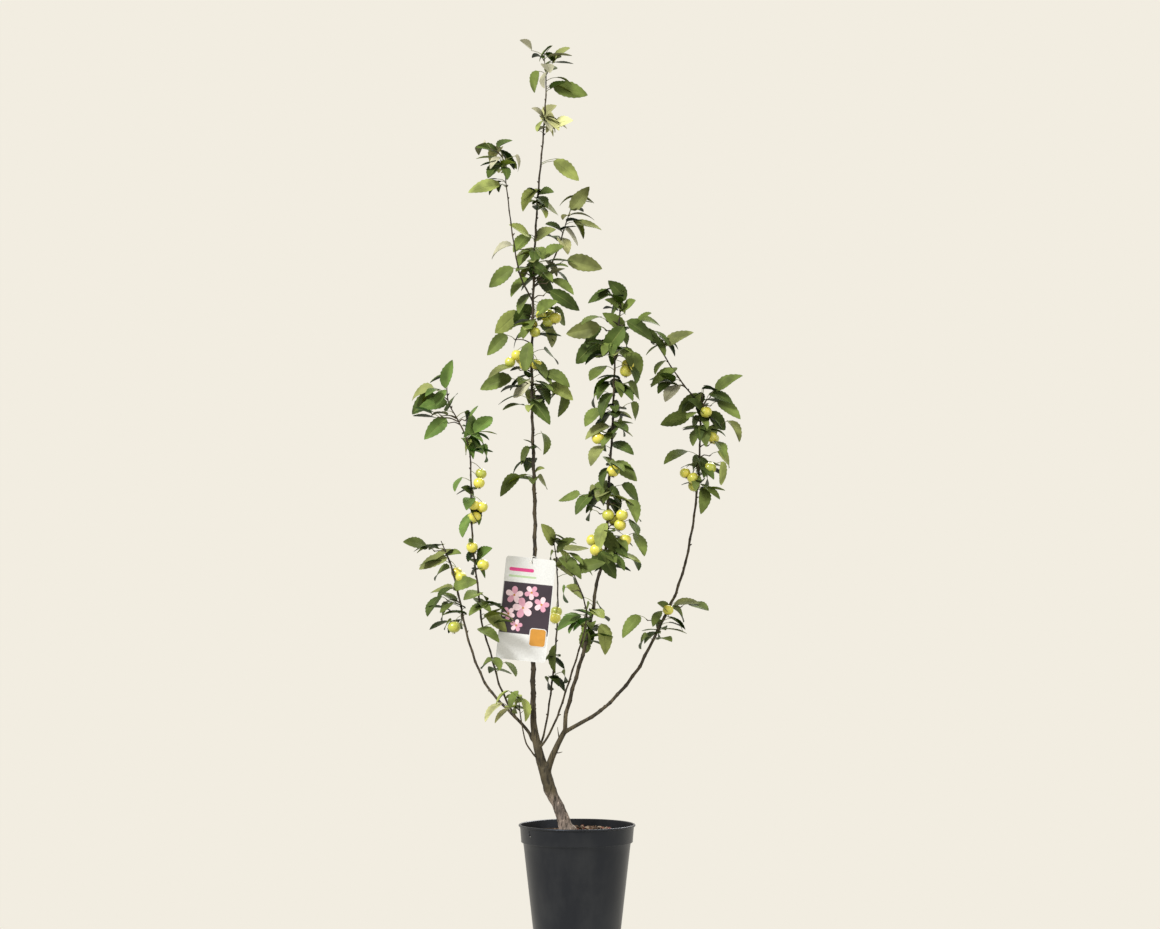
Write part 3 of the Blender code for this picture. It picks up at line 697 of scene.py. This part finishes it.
leafShape = {"length": 0.063, "wide": 0.49, "widest": 0.040, "thick": 0.00035, "stations": 15,
             "teeth": 0.05, "fold": 0.38, "droop": 0.62, "petiole": 0.018, "twigReach": 0.034,
             "twigs": (0.0030, 0.0018), "stalks": (0.0014, 0.0011), "hidden": 1.35, "turn": 2.399}
# Upper side and underside of each leaf tone; deep is partly painted shade and light partly painted
# sunlight, over the leaf's own green
tones = {
    "deep": ((0.007, 0.018, 0.002), (0.052, 0.078, 0.016)),
    "mid": ((0.024, 0.048, 0.002), (0.100, 0.132, 0.030)),
    "fresh": ((0.022, 0.068, 0.004), (0.085, 0.140, 0.030)),
    "olive": ((0.074, 0.092, 0.010), (0.145, 0.160, 0.052)),
    "light": ((0.120, 0.165, 0.014), (0.220, 0.255, 0.070)),
    "yellow": ((0.270, 0.275, 0.095), (0.360, 0.360, 0.165)),
    "grey": ((0.135, 0.138, 0.070), (0.330, 0.320, 0.220)),
}


def leafFinish(name, colour, gloss):
    paint = Finish(name)
    cloud = paint.noise(24.0, 3.0)
    vein = paint.noise(420.0, 2.0)
    tint = paint.ramp(cloud, [(0.34, shade(colour, 0.62)), (0.66, shade(colour, 1.48))])
    return paint.put(colour=tint, rough=gloss + 0.15 * vein, specular=0.14,
                     normal=paint.bump(vein, 0.30, 0.0004))


leafWood = Heap()
leafHeaps = {tone: Heap() for tone in tones}
ribWidth = 0.032
leafColumns = (-1.0, -0.52, -ribWidth, ribWidth, 0.52, 1.0)


def addLeaf(base, heading, facing, length, tone, width=None):
    # An ovate, toothed blade folded along its midrib and arched over its length, with an underside
    width = width or leafShape["wide"] * length * dice.uniform(0.9, 1.1)
    along = heading.normalized()
    up = (facing - along * facing.dot(along)).normalized()
    side = up.cross(along).normalized()
    fold = leafShape["fold"] * dice.uniform(0.3, 1.5)
    bend = leafShape["droop"] * dice.uniform(0.2, 1.6)
    twist = dice.uniform(-0.5, 0.5)
    wave = dice.uniform(0.0, 6.0)
    stations = leafShape["stations"]
    top = []
    for station in range(stations):
        t = station / (stations - 1)
        angle = bend * t
        reach = length * math.sin(angle) / bend if bend > 0.05 else length * t
        sink = length * (1.0 - math.cos(angle)) / bend if bend > 0.05 else 0.0
        spine = base + along * reach - up * sink
        half = 0.5 * width * (math.sin(math.pi * t ** 0.78) ** 0.72 if 0.0 < t < 1.0 else 0.0)
        half = max(half, 0.0006)
        tooth = 1.0 + leafShape["teeth"] * (1.0 if station % 2 else -1.0)
        roll = twist * t
        overWay = side * math.cos(roll) + up * math.sin(roll)
        liftWay = up * math.cos(roll) - side * math.sin(roll)
        for column in leafColumns:
            edge = tooth if abs(column) == 1.0 else 1.0
            off = column * half * edge
            rise = abs(off) * math.tan(fold) + 0.04 * half * math.sin(wave + 9.0 * t) * column
            top.append(spine + overWay * off * math.cos(fold * 0.5) + liftWay * rise * 0.8)
    columns = len(leafColumns)
    low = []
    for station in range(stations):
        for column in range(columns):
            row = station * columns
            after = min(station + 1, stations - 1) * columns + column
            before = max(station - 1, 0) * columns + column
            ahead = top[after] - top[before]
            over = top[row + min(column + 1, columns - 1)] - top[row + max(column - 1, 0)]
            low.append(top[row + column] - over.cross(ahead).normalized() * leafShape["thick"])
    faces = []
    kinds = []
    count = len(top)
    for station in range(stations - 1):
        for column in range(columns - 1):
            a = station * columns + column
            quad = (a, a + 1, a + columns + 1, a + columns)
            faces.append(tuple(reversed(quad)))
            kinds.append(2 if column == 2 else 0)
            faces.append(tuple(count + index for index in quad))
            kinds.append(2 if column == 2 else 1)
    rim = [station * columns for station in range(stations)]
    rim += [(stations - 1) * columns + column for column in range(1, columns)]
    rim += [station * columns + columns - 1 for station in range(stations - 2, -1, -1)]
    rim += [column for column in range(columns - 2, 0, -1)]
    for a, b in zip(rim, rim[1:] + rim[:1]):
        faces.append((b, a, count + a, count + b))
        kinds.append(0)
    leafHeaps[tone].pour(top + low, faces, kinds)


def stalk(start, end, thick, thin, sag, kind=1):
    middle = start.lerp(end, 0.5) + skyward * sag
    rows = [(*start, thick), (*middle, (thick + thin) / 2.0), (*end, thin)]
    path = curveThrough(rows, 0.006)
    tube(leafWood, [Vector(row[:3]) for row in path], [row[3] / 2.0 for row in path], 6, kind)


def hangLeaf(limb, base, heading, facing, length, tone, width=None):
    # The blade, its stalk, and a woody twig where the limb is further off than a stalk reaches
    distance = (base - onLimb(limb, base.z)).length
    foot = onLimb(limb, base.z - min(0.045, 0.35 * distance))
    gap = (base - foot).length
    joint = foot
    if gap > leafShape["twigReach"]:
        joint = foot.lerp(base, 1.0 - leafShape["petiole"] / gap) + Vector((0.0, 0.0, -0.003))
        stalk(foot, joint, *leafShape["twigs"], 0.004, 0)
        tube(leafWood, [joint, joint + (base - joint).normalized() * 0.005], [0.0016, 0.0005], 6, 0)
    stalk(joint, base, *leafShape["stalks"], 0.002, 1)
    along = heading.normalized()
    stalk(base - along * 0.001, base + along * 0.006, 0.0012, 0.0008, 0.0, 1)
    addLeaf(base, heading, facing, length, tone, width)


def leafFromSpot(limb, spot, low, high, order, count):
    left, right, top, bottom, tone = spot
    rising = tone.endswith("^")
    tone = tone.rstrip("^")
    wide = right - left
    tall = bottom - top
    middleX = (left + right) / 2.0
    middleY = (top + bottom) / 2.0
    # The leaves of a tuft step to and fro over its depth
    share = (order + 0.5 + dice.uniform(-0.3, 0.3)) / count
    depth = low.y + (high.y - low.y) * (0.22 + 0.56 * ((share * 2.618) % 1.0))
    centre = place(middleX, middleY, depth)
    stem = onLimb(limb, centre.z)
    inner, outer = (left, right) if centre.x > stem.x else (right, left)
    upright = tall > 1.7 * wide
    flat = wide > 1.9 * tall
    drop = (0.22 if flat else 0.5) * (tall if rising else -tall)
    startX, endX = inner, outer
    if upright:
        startX = middleX + 0.25 * (inner - outer)
        endX = middleX - 0.25 * (inner - outer)
    start = place(startX, middleY + drop, depth)
    end = place(endX, middleY - drop, depth)
    seen = (end - start).length * (1.0 if flat or upright else 0.90)
    length = max(seen, min(leafShape["length"], seen * 1.35 + 0.012) * dice.uniform(0.92, 1.05))
    toward = math.sqrt(max(length * length - seen * seen, 0.0)) * (-1.0 if depth < stem.y else 1.0)
    heading = (end - start).normalized() * seen + Vector((0.0, toward, 0.0))
    width = leafShape["wide"] * length
    minor = min(wide, tall) * metresPerPixel * (1.0 if flat or upright else 0.75)
    openness = max(0.18, min(1.0, minor / width))
    flatUp = heading.cross(toCamera).normalized()
    if flatUp.z < 0.0:
        flatUp = -flatUp
    facing = toCamera * openness + flatUp * math.sqrt(1.0 - openness * openness)
    base = (start + end) / 2.0 - heading * 0.5
    hangLeaf(limb, base, heading, facing, length, tone, min(width, leafShape["widest"]))


def hiddenLeaves(limb, low, high, shown, count):
    # Leaves the front view hides or foreshortens, so that the tuft is whole from every side
    middle = (low + high) / 2.0
    half = (high - low) / 2.0
    for number in range(count):
        angle = leafShape["turn"] * number + dice.uniform(-0.4, 0.4)
        rise = dice.uniform(-0.65, 0.65)
        spread = math.sqrt(1.0 - rise * rise) * dice.uniform(0.55, 0.85)
        aside = 0.55 * half.x * spread * math.cos(angle)
        behind = 0.9 * half.y * spread * math.sin(angle)
        spot = middle + Vector((aside, behind, half.z * rise))
        stem = onLimb(limb, spot.z)
        outward = spot - stem
        outward.z = 0.0
        if outward.length < 0.004:
            outward = Vector((math.cos(angle), math.sin(angle), 0.0))
        outward.normalize()
        length = leafShape["length"] * dice.uniform(0.6, 0.9)
        heading = (outward + Vector((0.0, 0.0, dice.uniform(-0.7, 0.5)))).normalized() * length
        base = spot - heading * 0.5
        facing = Vector((outward.x * 0.3, outward.y * 0.3, 1.0))
        # A hidden leaf takes one of the tuft's shown tones, painted shade and painted sunlight among them
        hangLeaf(limb, base, heading, facing, length, dice.choice(shown))


def makeLeaves():
    for name, spots in leafSpots.items():
        low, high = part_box("leaves_" + name)
        limb = name.rsplit("_", 1)[0]
        for order, spot in enumerate(spots):
            leafFromSpot(limb, spot, low, high, order, len(spots))
        shown = [spot[4].rstrip("^") for spot in spots]
        hiddenLeaves(limb, low, high, shown, round(len(spots) * leafShape["hidden"]))
    masses = ["leaves_" + name for name in leafSpots]
    rib = leafFinish("leaf ribs", (0.125, 0.145, 0.040), 0.5)
    bark = barkFinish("twig bark")
    petiole = leafFinish("leaf stalks", (0.150, 0.160, 0.060), 0.5)
    share = math.ceil(len(masses) / len(tones))
    for number, (tone, (upper, under)) in enumerate(tones.items()):
        front = leafFinish(tone + " leaf", upper, 0.42)
        back = leafFinish(tone + " leaf underside", under, 0.6)
        piece = leafHeaps[tone].make("leaves_" + tone, [front, back, rib], 50.0)
        settle(piece, "leaves", *masses[number * share:(number + 1) * share])
    settle(leafWood.make("twigs_and_stalks", [bark, petiole]), "bark")


# Fruit: rows of pixel places on each limb, small yellow pomes on thin stalks
fruitSpots = {
    "second_leader": ((626, 371), (598, 438), (613, 471), (608, 515), (622, 515), (620, 525), (596, 550),
                      (625, 540)),
    "right_stem_top": ((712, 437), (706, 412), (685, 473), (693, 478), (710, 468), (668, 610)),
    "left_tall_stem": ((479, 483), (474, 505), (482, 507), (475, 517), (472, 547), (483, 565)),
    "left_low_stem": ((461, 577), (454, 627)),
    "leader": ((535, 332), (517, 355), (510, 362), (525, 365), (537, 365), (541, 315), (548, 322),
               (555, 318)),
    "inner_back_stem": ((555, 618),),
}
fruitShape = {"radius": 0.0122, "stalk": 0.024, "stalkThick": (0.0013, 0.0011), "rings": 16, "sides": 22,
              "forward": 0.013, "stalkDip": 0.20, "eyeDip": 0.13}
skinColours = {
    "ripe skin": ((0.620, 0.540, 0.070), (0.500, 0.500, 0.070)),
    "green skin": ((0.480, 0.470, 0.065), (0.350, 0.390, 0.055)),
}


def addFruit(heap, centre, radius, lean, kind):
    # A turned pome, hollow at its stalk and at its eye, with five dry sepals
    profile = []
    for ring in range(fruitShape["rings"] + 1):
        angle = math.pi * ring / fruitShape["rings"]
        atStalk = fruitShape["stalkDip"] * math.exp(-(angle / 0.32) ** 2)
        atEye = fruitShape["eyeDip"] * math.exp(-((math.pi - angle) / 0.30) ** 2)
        level = math.cos(angle) * radius * 0.96 * (1.0 - atStalk - atEye)
        profile.append((math.sin(angle) * radius, level))
    turn = skyward.rotation_difference(lean).to_matrix()
    sides = fruitShape["sides"]
    points = [centre + turn @ Vector((0.0, 0.0, profile[0][1]))]
    for ring in range(1, fruitShape["rings"]):
        for side in range(sides):
            angle = turned(side, sides)
            reach = profile[ring][0] * (1.0 + 0.015 * math.cos(5.0 * angle))
            points.append(centre + turn @ polar(reach, angle, profile[ring][1]))
    points.append(centre + turn @ Vector((0.0, 0.0, profile[-1][1])))
    heap.pour(points, domedFaces(fruitShape["rings"] - 1, sides), kind)
    foot = centre - lean * radius * 0.84
    for sepal in range(5):
        out = turn @ polar(1.0, turned(sepal, 5.0))
        tip = foot + out * radius * 0.20 - lean * radius * 0.30
        tube(heap, [foot + out * radius * 0.06, foot + out * radius * 0.18 - lean * radius * 0.12, tip],
             [0.0007, 0.0006, 0.0001], 5, 2)


def makeFruit():
    heap = Heap()
    for limb, spots in fruitSpots.items():
        for number, (px, py) in enumerate(spots):
            height = place(px, py, 0.0).z
            stem = onLimb(limb, height)
            radius = fruitShape["radius"] * dice.uniform(0.88, 1.06)
            turns = (-1.0, 1.0) if number % 3 == 0 else (-1.0,)
            for way in turns:
                depth = stem.y + way * fruitShape["forward"] * dice.uniform(0.5, 1.2)
                centre = place(px, py, depth)
                if way > 0.0:
                    centre += Vector((dice.uniform(-0.012, 0.012), 0.0, dice.uniform(-0.020, 0.020)))
                lean = Vector((dice.uniform(-0.35, 0.35), dice.uniform(-0.35, 0.35), 1.0)).normalized()
                addFruit(heap, centre, radius, lean, 1 if dice.random() < 0.3 else 0)
                top = centre + lean * radius * 0.74
                foot = onLimb(limb, centre.z + fruitShape["stalk"])
                stalk(foot, top, *fruitShape["stalkThick"], 0.003, 1)
    skins = []
    for name, (ripe, green) in skinColours.items():
        paint = Finish(name)
        tint = paint.ramp(paint.noise(60.0, 2.0), [(0.38, green), (0.62, ripe)])
        dots = paint.mask(paint.noise(1100.0, 1.0), 0.62, 0.72)
        skins.append(paint.put(colour=paint.mix(dots, tint, shade(ripe, 0.8)), rough=0.30, coat=0.25,
                               coatRough=0.15, specular=0.5))
    dry = Finish("dry sepals")
    brown = dry.ramp(dry.noise(500.0), [(0.3, (0.030, 0.018, 0.010)), (0.7, (0.090, 0.060, 0.030))])
    skins.append(dry.put(colour=brown, rough=0.9))
    settle(heap.make("fruit", skins), "fruit")


# Pot: the CAD profile again, turned finely, with a rolled lip and moulding lines
potShape = {"height": 0.250, "lipRadius": 0.117, "lipDeep": 0.0045, "lipOver": 0.0025, "band": 0.036,
            "step": 0.0042, "foot": 0.0835, "slope": 0.1125, "wall": 0.0018, "floor": 0.003, "sides": 144,
            "holes": 8, "holeWide": 0.010, "holeCircle": 0.066}
potKey = {"way": (-0.84, -0.543, 0.0), "reach": 0.1142,
          "spots": ((0.010, 0.0, 0.0016, 0), (0.016, 0.0, 0.0024, 0), (0.019, 0.004, 0.0018, 1))}


def wallRadius(height):
    return potShape["foot"] + potShape["slope"] * height


def potProfile():
    height, wall, step = potShape["height"], potShape["wall"], potShape["step"]
    bandFoot = height - potShape["band"]
    bandTop = potShape["lipRadius"] - potShape["lipOver"]
    roll = potShape["lipDeep"] / 2.0
    outside = []
    for part in range(9):
        angle = math.radians(110.0 - 200.0 * part / 8)
        out = potShape["lipRadius"] - roll + roll * math.cos(angle)
        outside.append((out, height - roll + roll * math.sin(angle)))
    outside.append((bandTop - 0.0004, height - 2.0 * roll - 0.0006))
    for part in range(1, 6):
        t = part / 6
        out = bandTop - 0.0004 + (wallRadius(bandFoot) + step - bandTop) * t
        outside.append((out, height - 2.0 * roll - (potShape["band"] - 2.0 * roll) * t))
    edge = 0.0012
    for part in range(5):
        angle = math.radians(-90.0 * part / 4)
        out = wallRadius(bandFoot) + step - edge + edge * math.cos(angle)
        outside.append((out, bandFoot + edge + edge * math.sin(angle)))
    outside.append((wallRadius(bandFoot) + 0.0006, bandFoot - 0.0001))
    outside.append((wallRadius(bandFoot), bandFoot - 0.0010))
    for part in range(1, 14):
        down = (bandFoot - 0.001) * (1.0 - part / 14)
        outside.append((wallRadius(down), down))
    foot = potShape["foot"]
    outside += [(foot + 0.0003, 0.0028), (foot - 0.0006, 0.0010), (foot - 0.0025, 0.0), (0.0, 0.0)]
    floor = potShape["floor"]
    corner = wallRadius(floor) - wall
    inside = [(0.0, floor), (corner - 0.002, floor), (corner, floor + 0.002)]
    inner = wallRadius(bandFoot) - wall
    inside += [(inner, bandFoot), (inner + step, bandFoot + step)]
    inside += [(bandTop - wall - 0.0004, height - 0.006), (bandTop - wall, height - 0.0012)]
    return inside + outside


def turnProfile(name, profile, sides):
    mesh = bpy.data.meshes.new(name)
    shape = bmesh.new()
    points = [shape.verts.new((radius, 0.0, height)) for radius, height in profile]
    for first, second in zip(points, points[1:]):
        shape.edges.new((first, second))
    outline = shape.verts[:] + shape.edges[:]
    bmesh.ops.spin(shape, geom=outline, axis=(0.0, 0.0, 1.0), steps=sides, angle=2.0 * math.pi)
    bmesh.ops.remove_doubles(shape, verts=shape.verts, dist=0.00002)
    bmesh.ops.recalc_face_normals(shape, faces=shape.faces)
    shape.to_mesh(mesh)
    shape.free()
    return addObject(name, mesh)


def makePot():
    pot = turnProfile("nursery_pot", potProfile(), potShape["sides"])
    cutter = Heap()
    for hole in range(potShape["holes"]):
        spot = polar(potShape["holeCircle"], turned(hole + 0.5, potShape["holes"]))
        ends = [spot + skyward * height for height in (-0.004, 0.010)]
        tube(cutter, ends, [potShape["holeWide"] / 2.0] * 2, 24)
    tool = cutter.make("drain_tool", [])
    holes = pot.modifiers.new("holes", "BOOLEAN")
    holes.operation = "DIFFERENCE"
    holes.object = tool
    mesh = bakeShape(pot)
    bpy.data.objects.remove(tool, do_unlink=True)
    mesh.shade_smooth()
    mesh.set_sharp_from_angle(angle=math.radians(38.0))
    paint = Finish("black nursery plastic")
    dust = paint.noise(16.0, 4.0, 0.6, paint.stretched(1.0, 1.0, 0.5))
    grain = paint.noise(900.0, 2.0)
    tint = paint.mix(paint.mask(dust, 0.45, 0.75), (0.007, 0.007, 0.008), (0.018, 0.018, 0.018))
    mesh.materials.clear()
    mesh.materials.append(paint.put(colour=tint, rough=0.26 + 0.20 * dust, specular=0.36,
                                    gleam=(0.72, 0.82, 1.0, 1.0), normal=paint.bump(grain, 0.10, 0.0003)))
    settle(pot, "pot", "pot")
    # A small moulded key and a small raised pale spot on the band
    key = Heap()
    outward = Vector(potKey["way"]).normalized()
    for drop, shift, size, kind in potKey["spots"]:
        spot = outward * potKey["reach"] + Vector((shift, -shift * 0.5, potShape["height"] - drop))
        rise = [spot, spot + outward * 0.0004, spot + outward * 0.0009]
        tube(key, rise, [size, size * 0.9, size * 0.3], 16, kind)
    # The raised spot's pale grey colour
    paleSpot = plainFinish("pale spot", (0.60, 0.60, 0.56), 0.7)
    settle(key.make("pot_key", [mesh.materials[0], paleSpot]), "pot")


# Compost: a lumpy bed with loose bits of bark, level round the trunk
compostShape = {"rings": 26, "sides": 96, "lumps": 0.0022, "bits": 620, "bitLong": 0.011, "heaped": 90,
                "waist": (0.100, 0.19), "foot": 0.0815, "heapAt": (0.022, 0.070),
                "heapWide": (0.020, 0.018)}
compostColours = {
    "damp compost": (0.030, 0.020, 0.013), "dark bark bits": (0.055, 0.034, 0.021),
    "bark bits": (0.120, 0.078, 0.048), "pale bark bits": (0.230, 0.175, 0.125),
    "red bark bits": (0.150, 0.055, 0.040),
}


def addBit(heap, spot, size, kind):
    # One flake: a squashed, knocked-about six-sided lump
    yaw = Matrix.Rotation(dice.uniform(0.0, 6.28), 3, "Z")
    yaw = yaw @ Matrix.Rotation(dice.uniform(-0.4, 0.4), 3, "X")
    thin = size * dice.uniform(0.18, 0.35)
    sides = 6
    points = []
    for level, spread in ((-0.5, 0.8), (0.1, 1.0), (0.5, 0.6)):
        for corner in range(sides):
            reach = size * 0.5 * spread * dice.uniform(0.75, 1.1)
            edge = polar(reach, turned(corner, sides), thin * level)
            edge.y *= 0.6
            points.append(spot + yaw @ edge)
    faces = [tuple(reversed(range(sides))), tuple(range(2 * sides, 3 * sides))]
    heap.pour(points, faces + bandFaces(0, sides) + bandFaces(sides, sides), kind)


def makeCompost():
    low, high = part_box("compost")
    reach = high.x - 0.0006
    heap = Heap()
    points = [Vector((0.0, 0.0, high.z - 0.001))]
    sides = compostShape["sides"]
    for ring in range(1, compostShape["rings"] + 1):
        radius = reach * ring / compostShape["rings"]
        for side in range(sides):
            spot = polar(radius, turned(side, sides))
            lump = noise.noise(spot * 90.0) * 0.6 + noise.noise(spot * 230.0) * 0.4
            points.append(Vector((spot.x, spot.y, high.z - 0.0022 + compostShape["lumps"] * lump)))
    wallFoot = potShape["height"] - potShape["band"] + potShape["step"] + 0.001
    for radius, height in ((reach - 0.002, wallFoot), compostShape["waist"], (compostShape["foot"], low.z)):
        points += [polar(radius, turned(side, sides), height) for side in range(sides)]
    points.append(Vector((0.0, 0.0, low.z)))
    heap.pour(points, domedFaces(compostShape["rings"] + 3, sides), 0)
    for bit in range(compostShape["bits"]):
        radius = (reach - 0.007) * math.sqrt(dice.random())
        angle = dice.uniform(0.0, 2.0 * math.pi)
        spot = polar(radius, angle, high.z - dice.uniform(0.0015, 0.0035))
        size = compostShape["bitLong"] * dice.uniform(0.25, 1.0)
        addBit(heap, spot, size, dice.choice((0, 1, 1, 2, 3)))
    for bit in range(compostShape["heaped"]):
        x, y = (dice.gauss(*pair) for pair in zip(compostShape["heapAt"], compostShape["heapWide"]))
        spot = Vector((x, y, high.z + dice.uniform(-0.002, 0.003)))
        if spot.xy.length > reach - 0.010:
            spot.xy *= (reach - 0.012) / spot.xy.length
        addBit(heap, spot, compostShape["bitLong"] * dice.uniform(0.5, 1.2), dice.choice((1, 2, 2, 3, 4)))
    finishes = []
    for name, colour in compostColours.items():
        paint = Finish(name)
        crumb = paint.noise(420.0, 4.0)
        tint = paint.ramp(crumb, [(0.3, shade(colour, 0.5)), (0.7, shade(colour, 1.4))])
        relief = paint.bump(crumb, 0.6, 0.0012)
        finishes.append(paint.put(colour=tint, rough=0.92, specular=0.2, normal=relief))
    settle(heap.make("compost_bed", finishes, 30.0), "compost", "compost")


# Label: a slightly bowed card with a plain printed front, laid up flat and then stood in place
labelShape = {"wide": 0.100, "tall": 0.206, "thick": 0.0009, "corner": 0.007, "hole": 0.008, "drop": 0.010,
              "tilt": 6.0, "middle": (-0.102, -0.0112, 0.680), "bow": 0.0022, "ink": 0.00012}


def roundedBox(left, right, low, high, corner):
    points = 6
    outline = []
    centres = ((right - corner, high - corner), (left + corner, high - corner),
               (left + corner, low + corner), (right - corner, low + corner))
    for quarter, (cx, cy) in enumerate(centres):
        for part in range(points):
            angle = math.pi / 2.0 * (quarter + part / (points - 1))
            outline.append((cx + corner * math.cos(angle), cy + corner * math.sin(angle)))
    return outline


def flatShape(outline, holes, thick, lift, material):
    # A filled outline as a thin plate, cut into strips so that it can bow
    curve = bpy.data.curves.new("plate", "CURVE")
    curve.dimensions = "2D"
    curve.fill_mode = "BOTH"
    curve.extrude = thick / 2.0
    for loop in [outline] + holes:
        spline = curve.splines.new("POLY")
        spline.points.add(len(loop) - 1)
        for point, (x, y) in zip(spline.points, loop):
            point.co = (x, y, 0.0, 1.0)
        spline.use_cyclic_u = True
    holder = addObject("plate", curve)
    mesh = evaluated(holder)
    bpy.data.objects.remove(holder, do_unlink=True)
    shape = bmesh.new()
    shape.from_mesh(mesh)
    bmesh.ops.remove_doubles(shape, verts=shape.verts, dist=0.00001)
    for number in range(-9, 10):
        whole = shape.verts[:] + shape.edges[:] + shape.faces[:]
        bmesh.ops.bisect_plane(shape, geom=whole, dist=0.000001, plane_co=(0.0, number * 0.0108, 0.0),
                               plane_no=(0.0, 1.0, 0.0))
    for vertex in shape.verts:
        vertex.co.z += lift
    bmesh.ops.recalc_face_normals(shape, faces=shape.faces)
    shape.to_mesh(mesh)
    shape.free()
    mesh.materials.clear()
    mesh.materials.append(material)
    return mesh


def ringLoop(cx, cy, radius, count):
    angles = [turned(part, count) for part in range(count)]
    return [(cx + radius * math.cos(angle), cy + radius * math.sin(angle)) for angle in angles]


def petalLoop(cx, cy, reach, aim, wide):
    loop = []
    for part in range(14):
        t = turned(part, 14)
        along = reach * (0.55 - 0.5 * math.cos(t))
        out = wide * reach * math.sin(t) * (0.6 + 0.4 * (1.0 - math.cos(t)) / 2.0)
        x = along * math.cos(aim) - out * math.sin(aim)
        y = along * math.sin(aim) + out * math.cos(aim)
        loop.append((cx + x, cy + y))
    return loop


# Each ink's colour and the fineness of its print
labelInks = {
    "white card": ((0.66, 0.665, 0.66), 400.0), "dark print": ((0.040, 0.028, 0.040), 60.0),
    "pale petal": ((0.82, 0.62, 0.68), 150.0), "pink petal": ((0.66, 0.33, 0.44), 150.0),
    "golden print": ((0.52, 0.24, 0.035), 120.0), "pink stripe": ((0.62, 0.05, 0.22), 400.0),
    "pale green stripe": ((0.42, 0.55, 0.33), 400.0),
}
# Place, petal length and turn of each blossom
blossoms = ((-0.026, 0.026, 0.017, 0.3), (0.008, 0.034, 0.014, 1.0), (-0.006, 0.002, 0.020, 0.6),
            (0.030, 0.012, 0.015, 0.1), (-0.034, -0.012, 0.013, 0.9), (-0.016, -0.034, 0.012, 0.2))


def makeLabel():
    half = labelShape["wide"] / 2.0
    high = labelShape["tall"] / 2.0
    front = labelShape["thick"] / 2.0
    ink = labelShape["ink"]
    inks = {name: plainFinish(name, colour, 0.35, grain) for name, (colour, grain) in labelInks.items()}
    pinks = (inks["pale petal"], inks["pink petal"])
    hole = ringLoop(0.0, high - labelShape["drop"], labelShape["hole"] / 2.0, 20)
    edge = roundedBox(-half, half, -high, high, labelShape["corner"])
    parts = [flatShape(edge, [hole], labelShape["thick"], 0.0, inks["white card"])]
    # Left, right, low, high and corner of each printed block, and how many inks lie under it
    blocks = ((-half + 0.0015, half - 0.0015, -0.050, 0.052, 0.001, 0.0, "dark print"),
              (-0.041, 0.008, 0.074, 0.081, 0.003, 0.0, "pink stripe"),
              (-0.041, 0.014, 0.062, 0.066, 0.0018, 0.0, "pale green stripe"),
              (0.012, 0.046, -0.073, -0.036, 0.006, 5.2, "white card"),
              (0.0135, 0.0445, -0.0715, -0.0375, 0.005, 6.2, "golden print"))
    for *block, under, name in blocks:
        parts.append(flatShape(roundedBox(*block), [], ink, front + ink * under, inks[name]))
    for number, (cx, cy, size, spin) in enumerate(blossoms):
        for petal in range(5):
            loop = petalLoop(cx, cy, size, spin + turned(petal, 5.0), 0.42)
            lift = front + ink * (1.2 + 0.5 * number + 0.1 * petal)
            parts.append(flatShape(loop, [], ink, lift, pinks[(petal + number) % 2]))
        eye = ringLoop(cx, cy, 0.0022, 12)
        parts.append(flatShape(eye, [], ink, front + ink * (1.9 + 0.5 * number),
                               inks["golden print"]))
    pieces = [addObject("plant_label", mesh) for mesh in parts]
    label = pieces[0]
    with bpy.context.temp_override(active_object=label, object=label, selected_objects=pieces,
                                   selected_editable_objects=pieces):
        bpy.ops.object.join()
    label.name = "plant_label"
    for vertex in label.data.vertices:
        bow = labelShape["bow"] * (1.0 if vertex.co.y < 0.0 else 0.1)
        vertex.co.z += bow * (vertex.co.y / high) ** 2
    lean = Matrix.Rotation(math.radians(labelShape["tilt"]), 4, "Y")
    upright = Matrix.Rotation(math.pi / 2.0, 4, "X")
    label.data.transform(Matrix.Translation(labelShape["middle"]) @ lean @ upright)
    settle(label, "label", "label")
    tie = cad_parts["label_tie"]
    tie.data.materials.clear()
    tie.data.materials.append(plainFinish("white tie", (0.75, 0.75, 0.73), 0.4))


makeStage()
print("stage set")
readLimbs()
makeWood()
print("wood grown")
makeFruit()
makeLeaves()
print("leaves and fruit hung")
makePot()
makeCompost()
makeLabel()
print("pot, compost and label made")
